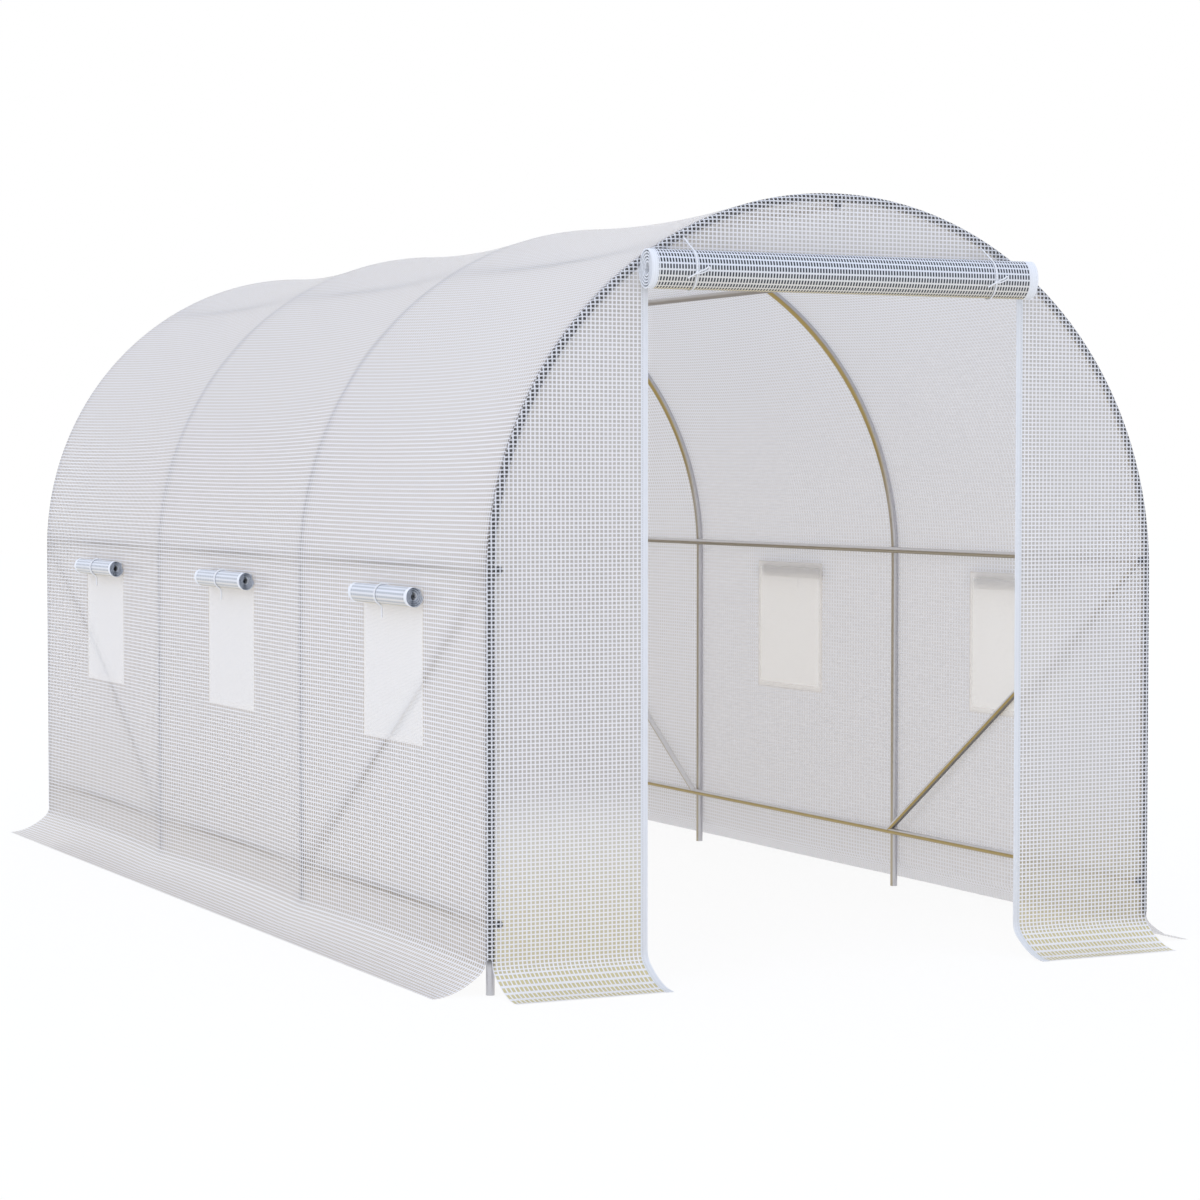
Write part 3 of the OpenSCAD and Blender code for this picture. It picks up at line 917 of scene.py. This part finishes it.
class TUNNEL_OT_cover(bpy.types.Operator):
    """Stretch the main cover over the hoops, with its side skirts and window openings"""

    bl_idname = "tunnel.cover"
    bl_label = "Main cover"

    def execute(self, context):
        cover = context.scene.tunnel_cover
        pitches = (cover.girth_pitch, cover.long_pitch)
        # The sides' light through the cells, and their painted warm light from the ground
        tones = (cover.cell_light, cover.side_ground_light)
        film = reinforced_film("reinforced film, sides", pitches, cover, *tones, ground_light_share=0.6)
        radius = COVER_IN - SEAT + cover.lift
        reach = SIDE_EDGE - COVER_IN
        skirt = skirt_section(reach, cover.fold)
        low = skirt[0][1]
        quarter = math.pi * HOOP_R / 2
        heights = chain(
            steps(low, WINDOW_LOW, 10), steps(WINDOW_LOW, WINDOW_HIGH, 8), steps(WINDOW_HIGH, SPRING_H, 2)
        )
        # Each station round the girth: its direction, its own offset, its flat place and how far the sag
        # has eased
        wall = [(1, 0, 0, z, quarter + SPRING_H - z, 0) for z in heights]
        lying = [(1, 0, out, up, quarter + SPRING_H - low + run, out / reach) for out, up, run in skirt]
        right = wall[-2::-1] + lying[1:]
        left = [(-dx, dz, -ox, oz, -u, ease) for dx, dz, ox, oz, u, ease in reversed(right)]
        arch = [
            (math.sin(a), math.cos(a), 0, SPRING_H, quarter * 2 * a / math.pi, 0)
            for a in steps(-math.pi / 2, math.pi / 2, ARCH_STEPS)
        ]
        girth = left + arch + right
        bay = chain(
            steps(-BAY_LEN / 2, -WINDOW_HALF, 10),
            steps(-WINDOW_HALF, WINDOW_HALF, 8),
            steps(WINDOW_HALF, BAY_LEN / 2, 10),
        )
        tube = radius - HOOP_R
        turn = tube * COVER_TURN
        front = steps(-HALF_LEN - turn, -HALF_LEN, TURN_STEPS)
        bays = chain(*([b * BAY_LEN + y for y in bay] for b, _ in BAYS))
        along = chain(front, bays, [-y for y in reversed(front)])

        def place(station, y):
            dx, dz, ox, oz, u, ease = station
            past = max(abs(y) - HALF_LEN, 0) / tube
            spot = math.copysign(HALF_LEN + tube * math.sin(past), y) if past else y
            out = HOOP_R + tube * math.cos(past) - (0 if past else sag_at(y) * (1 - ease))
            return (dx * out + ox, spot, dz * out + oz), (u, y)

        def keep(a, b):
            y = (along[b] + along[b + 1]) / 2
            z = (girth[a][3] + girth[a + 1][3]) / 2
            if abs(y) > HALF_LEN:
                return z > low
            off = (y + HALF_LEN) % BAY_LEN - BAY_LEN / 2
            return not (WINDOW_LOW < z < WINDOW_HIGH and abs(off) < WINDOW_HALF)

        piece = sheet_grid("main_cover", girth, along, place, film, "cover_film", keep)
        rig.replaces(piece, *ROOFS, *WALLS, "left_skirt", "right_skirt")
        width, length = 2 * girth[-1][4], 2 * (HALF_LEN + turn)
        windows = len(SIDES) * len(BAYS)
        holes = windows * 2 * WINDOW_HALF * (WINDOW_HIGH - WINDOW_LOW) + 4 * turn * skirt[-1][2]
        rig.sheet(
            piece,
            flat=(width, length),
            held="stretched",
            rests_on=list(HOOPS),
            area=width * length - holes,
        )
        return {"FINISHED"}


class TUNNEL_OT_ends(bpy.types.Operator):
    """Hang the front sheet round the doorway and the closed back sheet, with their skirts and bindings"""

    bl_idname = "tunnel.ends"
    bl_label = "End sheets"

    def execute(self, context):
        cover, rolls = context.scene.tunnel_cover, context.scene.tunnel_rolls
        pitches = (cover.across_pitch, cover.up_pitch)
        # The ends' light through the cells, and their painted warm light from the ground
        tones = (cover.end_cell_light, cover.end_ground_light)
        film = reinforced_film("reinforced film, ends", pitches, cover, *tones, ground_light_share=0.85)
        lap, pull = 0.001, 0.69
        edge = END_R + lap
        skirt = skirt_section(END_EDGE - END_Y, cover.fold)
        low, skirt_len = skirt[0][1], skirt[-1][2]
        fold_run = next(run for out, up, run in skirt if up <= FOLD_H)
        strip = SPRING_H + math.sqrt(edge**2 - DOOR_X**2) - DOOR_H
        # Rows up the sheet: along the skirt, up to the height of the doorway, then up to the arch
        rows = [(out, up, run) for out, up, run in reversed(skirt)]
        rows += [(share, None, None) for share in chain(steps(0, 1, 40), steps(1, 2, 6))[1:]]

        def place_at(side):
            face = END_Y + cover.lift

            def place(x, row):
                out, up, run = row
                if up is not None:
                    weave = fold_run - run
                    if weave < 0:
                        # Below the fold the cells are pulled long, most of all near the edge
                        share = (weave / (fold_run - skirt_len)) ** pull
                        weave = -(cover.skirt_rows + cover.thread_share / 2) * cover.up_pitch * share
                    return (x, side * (face + out), max(up, cover.lift)), (x, weave)
                high = SPRING_H + math.sqrt(max(edge**2 - x**2, 0))
                head = high - strip if abs(x) >= DOOR_X - 1e-6 or side > 0 else DOOR_H
                z = low + out * (head - low) if out <= 1 else head + (out - 1) * (high - head)
                return (x, side * face, z), (x, z - low + fold_run)

            return place

        near = [DOOR_X + (edge - DOOR_X) * math.sin(a) for a in steps(0, math.pi / 2, 24)]
        across = chain([-x for x in reversed(near)], steps(-DOOR_X, DOOR_X, 48), near)

        def open_front(a, b):
            x = abs(across[a] + across[a + 1]) / 2
            over_door = rows[b][1] is None and rows[b][0] >= 1
            return x > DOOR_X or over_door

        front = sheet_grid("front_sheet", across, rows, place_at(-1), film, "cover_film", open_front)
        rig.replaces(
            front,
            "front_left_panel",
            "front_right_panel",
            "front_gable",
            "front_left_skirt",
            "front_right_skirt",
        )
        back = sheet_grid("back_sheet", across, rows, place_at(1), film, "cover_film", flip=True)
        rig.replaces(back, "back_panel", "back_skirt")
        width, height = 2 * edge, SPRING_H + edge - low + skirt_len
        whole = width * (SPRING_H - low + skirt_len) + math.pi * edge**2 / 2
        door = 2 * DOOR_X * (DOOR_H - low + skirt_len)
        bindings = self.bind_doorway(cover, rolls, skirt)
        front_edge, back_edge = (
            self.turn_edge(f"{name}_sheet_edge", side, cover, film, low, fold_run)
            for name, side in (("front", -1), ("back", 1))
        )
        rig.sheet(
            front,
            flat=(width, height),
            held="stretched",
            rests_on=["front_hoop"],
            area=whole - door,
            with_pieces=[*bindings, front_edge],
        )
        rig.sheet(
            back,
            flat=(width, height),
            held="stretched",
            rests_on=["back_hoop"],
            area=whole,
            with_pieces=[back_edge],
        )
        return {"FINISHED"}

    def turn_edge(self, name, side, cover, film, low, fold_run):
        """The sheet's edge, turned back over its hoop to where it laps the main cover."""
        tube = COVER_IN - HOOP_R + cover.lift
        legs = steps(low, SPRING_H, 20)
        arch = [(math.sin(a), math.cos(a), SPRING_H) for a in steps(-math.pi / 2, math.pi / 2, ARCH_STEPS)]
        girth = [(-1, 0, z) for z in legs[:-1]] + arch + [(1, 0, z) for z in legs[-2::-1]]

        def place(station, angle):
            dx, dz, foot = station
            out = HOOP_R + tube * math.cos(angle)
            flat = HOOP_R + tube * (math.pi / 2 - angle)
            point = (dx * out, side * (HALF_LEN + tube * math.sin(angle)), foot + dz * out)
            return point, (dx * flat, foot + dz * flat - low + fold_run)

        turns = steps(math.pi / 2, EDGE_TURN, TURN_STEPS)
        return sheet_grid(name, girth, turns, place, film, "cover_film", flip=side > 0)

    def bind_doorway(self, cover, rolls, skirt):
        """Folded tape over the sheet's edge on both sides of the doorway, down to the skirt's edge."""
        thick, past, stitch_in = 0.0018, 0.001, 0.004
        stitch_at = DOOR_X + rolls.hem_w - stitch_in
        tape = binding_tape(
            "doorway binding tape", rolls.tape, rib=0.004, light_share=0.3, stitch_at=stitch_at
        )
        upright = [(0, z) for z in steps(DOOR_H, skirt[0][1], 12)]
        spread = [(out, up + thick / 2) for out, up, run in skirt[1:]]
        line = offset_line(upright + spread, -thick / 2)

        def to_world(p, x):
            return (x, -(END_Y + cover.lift + p[0]), p[1])

        pieces = []
        for side, name in SIDES:
            ends = sorted((side * (DOOR_X - past), side * (DOOR_X + rolls.hem_w)))
            name = f"doorway_{name}_binding"
            pieces.append(wound_sheet(name, line, thick, *ends, to_world, tape, "cover_film"))
        return pieces


class TUNNEL_OT_screens(bpy.types.Operator):
    """Sew the insect mesh behind the window openings, with the hem that shows from inside"""

    bl_idname = "tunnel.screens"
    bl_label = "Window screens"

    def execute(self, context):
        cover = context.scene.tunnel_cover
        mesh = insect_mesh("insect mesh", "#fbfcfe", "#fff3dd", pitch=0.0036, hole_share=0.1)
        tape = binding_tape("window hem tape", "#fdfbf9", rib=0.004, light_share=0.35, thin=0.5)
        hem, lap = 0.018, 0.004
        # How far inside the cover the mesh and its hem lie
        mesh_in, hem_in = 0.0008, 0.0016
        for side, side_name in SIDES:
            for bay, bay_name in BAYS:

                def place(y, z, inwards=mesh_in):
                    x = COVER_IN - SEAT + cover.lift - sag_at(y) - inwards
                    return (side * x, y, z), (y, z)

                ys = [bay * BAY_LEN + y for y in steps(-WINDOW_HALF - lap, WINDOW_HALF + lap, 10)]
                zs = steps(WINDOW_LOW - lap, WINDOW_HIGH + lap, 6)
                name = f"{side_name}_{bay_name}_screen"
                screen = sheet_grid(name, ys, zs, place, mesh, "insect_mesh", flip=side < 0)
                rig.replaces(screen, f"{side_name}_window_screens")
                ys = chain([ys[0]], [ys[0]] + steps(ys[0] + hem, ys[-1] - hem, 8) + [ys[-1]])
                zs = chain([zs[0]], [zs[0]] + steps(zs[0] + hem, zs[-1] - hem, 6) + [zs[-1]])

                def on_hem(a, b):
                    return a in (0, len(ys) - 2) or b in (0, len(zs) - 2)

                def behind(y, z):
                    return place(y, z, hem_in)

                band = sheet_grid(name + "_hem", ys, zs, behind, tape, "insect_mesh", on_hem, flip=side < 0)
                size = (ys[-1] - ys[0], zs[-1] - zs[0])
                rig.sheet(screen, flat=size, held="stretched", rests_on=["main_cover"], with_pieces=[band])
        return {"FINISHED"}


def spiral(roll_r, turn, eye_share, step=10):
    """Middle line of a rolled-up sheet seen from its end, from the back of the roll inwards, as [out, up]."""
    last = int(360 * (1 - eye_share) * roll_r / turn / step)
    line = []
    for i in range(last + 1):
        a = math.radians(i * step)
        r = roll_r - turn * i * step / 360
        line.append((-r * math.cos(a), -r * math.sin(a)))
    return line


def offset_line(line, by):
    """A line moved sideways, to the left of its run."""
    out = []
    for i, (x, y) in enumerate(line):
        x0, y0 = line[max(i - 1, 0)]
        x1, y1 = line[min(i + 1, len(line) - 1)]
        long = math.hypot(x1 - x0, y1 - y0)
        out.append((x - by * (y1 - y0) / long, y + by * (x1 - x0) / long))
    return out


def line_length(line):
    """Length of a line along its points."""
    return sum(math.dist(p, q) for p, q in zip(line, line[1:]))


def wound_sheet(name, line, thick, start, end, to_world, material, slot, drift=0.0):
    """A closed strip that follows a line seen from its end, from start to end along the third way. It may
    drift that way as it winds in, as an uneven roll does."""
    inner = offset_line(line, thick)
    points, flats = [], []
    run = 0.0
    for i, (p, q) in enumerate(zip(line, inner)):
        run += math.dist(p, line[i - 1]) if i else 0.0
        moved = drift * i / (len(line) - 1)
        for along in (start, end):
            points += [to_world(p, along + moved), to_world(q, along + moved)]
            flats += [(along, run), (along, run)]
    faces = []
    for i in range(len(line) - 1):
        a, b = 4 * i, 4 * i + 4
        faces += [
            (a, a + 2, b + 2, b),
            (a + 1, b + 1, b + 3, a + 3),
            (a, b, b + 1, a + 1),
            (a + 2, a + 3, b + 3, b + 2),
        ]
    last = 4 * (len(line) - 1)
    faces += [(0, 1, 3, 2), (last, last + 2, last + 3, last + 1)]
    return mesh_piece(name, points, faces, flats, material, slot, closed=True)


def sewn_tail(roll_r):
    """The strip that holds a roll up, flat on the sheet behind it, from its seam down to the roll."""
    count = 4
    return [(-roll_r, SEWN_TAIL * roll_r * (1 - i / count)) for i in range(count)]


def flap_x(rolls, out):
    """Place across the tunnel of a point of a rolled flap, which lies against the wall and is flatter than
    round."""
    return FLAP_LOW.x + rolls.flap_flat * (rolls.flap_r + out)


def flap_z(rolls):
    """Height of a rolled flap's middle, from the top of its solid's tail."""
    return FLAP_HIGH.z - SOLID_TAIL * rolls.flap_r


def door_y(rolls, out):
    """Place along the tunnel of a point of the rolled door, which lies against the end sheet in the same
    way."""
    return DOOR_HIGH.y - rolls.door_flat * (rolls.door_r + out)


def door_z(rolls):
    """Height of the rolled door's middle, in the same way."""
    return DOOR_HIGH.z - SOLID_TAIL * rolls.door_r


class TUNNEL_OT_flaps(bpy.types.Operator):
    """Roll up the window flaps, with their hems"""

    bl_idname = "tunnel.flaps"
    bl_label = "Window flaps"

    def execute(self, context):
        cover, rolls = context.scene.tunnel_cover, context.scene.tunnel_rolls
        pitches, shares = (cover.long_pitch, cover.girth_pitch), (0.3, 0.5)
        threads = (rolls.thread, rolls.thread_below)
        film = rolled_film("rolled film, flaps", pitches, shares, *threads, rolls.flap_cell, rolls.ground_bounce)
        half = FLAP_HIGH.y - BAY_LEN
        seam = half - rolls.hem_w
        # The flap hems' end faces take a painted blue-grey shade
        tape = binding_tape(
            "flap hem tape", rolls.tape, rib=0.003, light_share=0.1, stitch_at=seam + STITCH_IN, end_shade="#9aa5b5"
        )
        wound = spiral(rolls.flap_r, rolls.flap_turn, eye_share=0.35)
        line = sewn_tail(rolls.flap_r) + wound
        drift = 0.006
        for side, side_name in SIDES:
            for bay, bay_name in BAYS:

                def to_world(p, y):
                    middle_y = bay * BAY_LEN - FLAP_FORWARD
                    return (side * flap_x(rolls, p[0]), middle_y + y, flap_z(rolls) + p[1])

                name = f"{side_name}_{bay_name}_flap"
                roll = wound_sheet(name, line, rolls.film, -seam, seam, to_world, film, "rolled_film", drift)
                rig.replaces(roll, f"{side_name}_window_rolls")
                thick, hems = rolls.flap_hem, []
                for end, ys in (("front", (-half, -seam)), ("back", (seam, half))):
                    hem = f"{name}_{end}_hem"
                    hems.append(wound_sheet(hem, wound, thick, *ys, to_world, tape, "rolled_film", drift))
                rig.sheet(
                    roll,
                    flat=(2 * half, line_length(line)),
                    held="folded",
                    rests_on=["main_cover"],
                    with_pieces=hems,
                )
        return {"FINISHED"}


class TUNNEL_OT_door(bpy.types.Operator):
    """Roll up the door over the doorway, with its hems"""

    bl_idname = "tunnel.door"
    bl_label = "Rolled door"

    def execute(self, context):
        rolls = context.scene.tunnel_rolls
        threads = (rolls.thread, rolls.thread_below)
        # The grid as it shows on the rolled door: spacing along the roll and round it, and threads' share
        pitches, shares = (0.0085, 0.0165), (0.43, 0.3)
        film = rolled_film("rolled film, door", pitches, shares, *threads, rolls.door_cell, rolls.ground_bounce)
        half = DOOR_HIGH.x
        seam = half - rolls.hem_w
        tape = binding_tape(
            "door hem tape", rolls.tape, rib=0.003, light_share=0.15, stitch_at=seam + STITCH_IN
        )
        wound = spiral(rolls.door_r, rolls.door_turn, eye_share=0.28)
        # The door is folded up once before it is rolled, so a second layer runs back out inside the first
        # and ends just short of its start
        layer_share = 0.42
        second = offset_line(wound, layer_share * rolls.door_turn)[::-1][:-2]
        line = sewn_tail(rolls.door_r) + wound + second
        drift = 0.008

        def to_world(p, x):
            return (x, door_y(rolls, p[0]), door_z(rolls) + p[1])

        # It is rolled up a little skew, so it overhangs the doorway less on the right
        right, short = half - rolls.door_skew, seam - rolls.door_skew
        roll = wound_sheet("door", line, rolls.film, -seam, short, to_world, film, "rolled_film", drift)
        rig.replaces(roll, "door_roll")
        layers, thick, hems = wound + second, rolls.door_hem, []
        for end, xs in (("left", (-half, -seam)), ("right", (short, right))):
            hem = f"door_{end}_hem"
            hems.append(wound_sheet(hem, layers, thick, *xs, to_world, tape, "rolled_film", drift))
        length = line_length([(rolls.door_flat * out, up) for out, up in line])
        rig.sheet(roll, flat=(half + right, length), held="folded", rests_on=["front_sheet"], with_pieces=hems)
        return {"FINISHED"}


def tie_route(roll_r, turn, half, back, rise, end, step=7.5):
    """Middle line of a tie seen from the roll's end, as [out, up]: from its fixing behind, over the front
    and under, to an angle. The wound surface that it lies on draws in by a turn each round."""

    def surface(angle):
        r = roll_r - turn * (180 + angle) / 360 + half
        return r * math.cos(math.radians(angle)), r * math.sin(math.radians(angle))

    # The strand comes down from its fixing and meets the roll near its top, about at this angle
    near_top, free = 70, 6
    top = math.hypot(*surface(near_top))
    start = 180 - math.degrees(math.atan2(rise, back) + math.acos(top / math.hypot(back, rise)))
    touch = surface(start)
    line = list(zip(steps(-back, touch[0], free), steps(rise, touch[1], free)))[:-1]
    return line + [surface(angle) for angle in steps(start, end, int((start - end) / step))]


def cord_curve(name, diameter, roundness):
    """A curve, still without lines, that draws each of them as a round cord."""
    curve = bpy.data.curves.new(name, "CURVE")
    curve.dimensions = "3D"
    curve.bevel_depth, curve.bevel_resolution, curve.use_fill_caps = diameter / 2, roundness, True
    return curve


def cord_piece(name, points, diameter, material, slot):
    """A round cord on a smooth line."""
    curve = cord_curve(name, diameter, roundness=4)
    run = curve.splines.new("POLY")
    run.points.add(len(points) - 1)
    for spot, point in zip(run.points, points):
        spot.co = (*point, 1)
    run.use_smooth = True
    return link_piece(bpy.data.objects.new(name, curve), material, slot)


def knot_piece(name, centre, diameter, material, slot):
    """A slip knot on a tie: a wrap round the strand, a loose end to the left and a small loop to the right,
    as points to the right, up and out from its centre."""
    wraps = 1.75
    wrap = [
        (diameter * math.cos(a), 0.6 * diameter * (a / (wraps * math.pi) - 1), -diameter * math.sin(a))
        for a in steps(0, wraps * math.tau, 16)
    ]
    loose = [(0.0, -0.001, 0.004), (-0.008, -0.003, 0.005), (-0.018, -0.008, 0.004), (-0.028, -0.014, 0.0015)]
    loop = [
        (0.0, 0.001, 0.004), (0.010, 0.006, 0.006), (0.022, 0.011, 0.005), (0.031, 0.016, 0.003),
        (0.034, 0.012, 0.002), (0.028, 0.007, 0.0025), (0.014, 0.001, 0.004), (0.002, -0.002, 0.0045),
    ]
    curve = cord_curve(name, diameter, roundness=3)
    curve.resolution_u = 4
    for line in (wrap, loose, loop):
        run = curve.splines.new("BEZIER")
        run.bezier_points.add(len(line) - 1)
        for spot, (right, up, out) in zip(run.bezier_points, line):
            spot.co = (centre[0] + right, centre[1] - out, centre[2] + up)
            spot.handle_left_type = spot.handle_right_type = "AUTO"
    return link_piece(bpy.data.objects.new(name, curve), material, slot)


class TUNNEL_OT_ties(bpy.types.Operator):
    """Tie up the rolled door and flaps with cords"""

    bl_idname = "tunnel.ties"
    bl_label = "Ties"

    def execute(self, context):
        rolls = context.scene.tunnel_rolls
        cord = braided_cord("braided cord", rolls.string, plait=0.002)
        for side, side_name in SIDES:
            self.tie_flaps(rolls, cord, side, side_name)
            self.tie_door(rolls, cord, side, side_name)
        return {"FINISHED"}

    def tie_flaps(self, rolls, cord, side, side_name):
        half = rolls.flap_cord / 2
        # How far the fixing is above the roll's middle, and the angle at which the tie leaves the roll
        rise, end = 0.018, -65
        # The loose end leaves the roll under its front, bends down and hangs
        heading = math.radians(end - 90)
        bend, hang = 0.016, 0.022
        for bay, bay_name in BAYS:
            wall = COVER_IN - sag_at(bay * BAY_LEN) + half
            back = rolls.flap_r - (wall - FLAP_LOW.x) / rolls.flap_flat
            route = tie_route(rolls.flap_r, rolls.flap_turn, half, back, rise, end)
            x = route[-1][0] - bend * math.sin(heading)
            z = route[-1][1] + bend * math.cos(heading)
            drop = [
                (x + bend * math.sin(a), z - bend * math.cos(a)) for a in steps(heading, -math.pi / 2, 8)[1:]
            ]
            drop += [(drop[-1][0], drop[-1][1] - hang * i / 4) for i in range(1, 5)]
            points = [
                (side * flap_x(rolls, p[0]), bay * BAY_LEN, flap_z(rolls) + p[1]) for p in route + drop
            ]
            tie = cord_piece(f"{side_name}_{bay_name}_tie", points, rolls.flap_cord, cord, "tie_string")
            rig.replaces(tie, f"{side_name}_window_ties")
            self.declare(tie, points, rolls.flap_cord, "bare", "hanging")

    def tie_door(self, rolls, cord, side, side_name):
        half = rolls.cord / 2
        # Both ties sit a little to the left of their solids. They run from above the roll to under its back
        left, rise, end = 0.009, 0.083, -160
        x = side * DOOR_TIE_X - left
        back = rolls.door_r - (SEAT + half) / rolls.door_flat
        route = tie_route(rolls.door_r, rolls.door_turn, half / rolls.door_flat, back, rise, end)
        points = [(x, door_y(rolls, p[0]), door_z(rolls) + p[1]) for p in route]
        tie = cord_piece(f"door_{side_name}_tie", points, rolls.cord, cord, "tie_string")
        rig.replaces(tie, "door_ties")
        # The knot is on the front, a little below the roll's middle
        knot_drop = 0.01
        in_front = [p for p in points if p[1] < door_y(rolls, 0)]
        front = min(in_front, key=lambda p: abs(p[2] - door_z(rolls) + knot_drop))
        knot = knot_piece(f"door_{side_name}_knot", front, rolls.cord, cord, "tie_string")
        self.declare(tie, points, rolls.cord, "object", "taut", [knot])

    def declare(self, tie, points, diameter, far_end, lay, with_pieces=()):
        """Says that a tie is a cord, as long as it is drawn."""
        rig.cord(
            tie,
            exit=points[0],
            length=line_length(points),
            diameter=diameter,
            far_end=far_end,
            stiffness="limp",
            lay=lay,
            with_pieces=list(with_pieces),
        )


CLASSES = (
    TunnelCoverSettings,
    TunnelRollSettings,
    TunnelStageSettings,
    TUNNEL_OT_stage,
    TUNNEL_OT_ties,
    TUNNEL_OT_tubes,
    TUNNEL_OT_cover,
    TUNNEL_OT_ends,
    TUNNEL_OT_screens,
    TUNNEL_OT_flaps,
    TUNNEL_OT_door,
)


SETTINGS = {
    "tunnel_cover": TunnelCoverSettings,
    "tunnel_rolls": TunnelRollSettings,
    "tunnel_stage": TunnelStageSettings,
}


class TUNNEL_PT_sidebar(bpy.types.Panel):
    """Lists the pieces of the polytunnel and what can be changed on them"""

    bl_idname = "TUNNEL_PT_sidebar"
    bl_label = "Polytunnel"
    bl_space_type = "VIEW_3D"
    bl_region_type = "UI"
    bl_category = "Polytunnel"

    def draw(self, context):
        for piece in CLASSES:
            if issubclass(piece, bpy.types.Operator):
                self.layout.operator(piece.bl_idname)
        for group in SETTINGS:
            settings = getattr(context.scene, group)
            box = self.layout.box()
            for name in settings.__annotations__:
                box.prop(settings, name)


def register():
    for cls in (*CLASSES, TUNNEL_PT_sidebar):
        bpy.utils.register_class(cls)
    for name, group in SETTINGS.items():
        setattr(bpy.types.Scene, name, bpy.props.PointerProperty(type=group))


def unregister():
    for name in SETTINGS:
        delattr(bpy.types.Scene, name)
    for cls in reversed((*CLASSES, TUNNEL_PT_sidebar)):
        bpy.utils.unregister_class(cls)


def main():
    register()
    bpy.ops.tunnel.stage()
    bpy.ops.tunnel.ties()
    bpy.ops.tunnel.tubes()
    bpy.ops.tunnel.cover()
    bpy.ops.tunnel.ends()
    bpy.ops.tunnel.screens()
    bpy.ops.tunnel.flaps()
    bpy.ops.tunnel.door()
    with open(SIZE_FILE, "w") as file:
        json.dump({"cad": CAD_BOX, "visual": [list(corner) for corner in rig.bounds()]}, file)


if __name__ == "__main__":
    main()
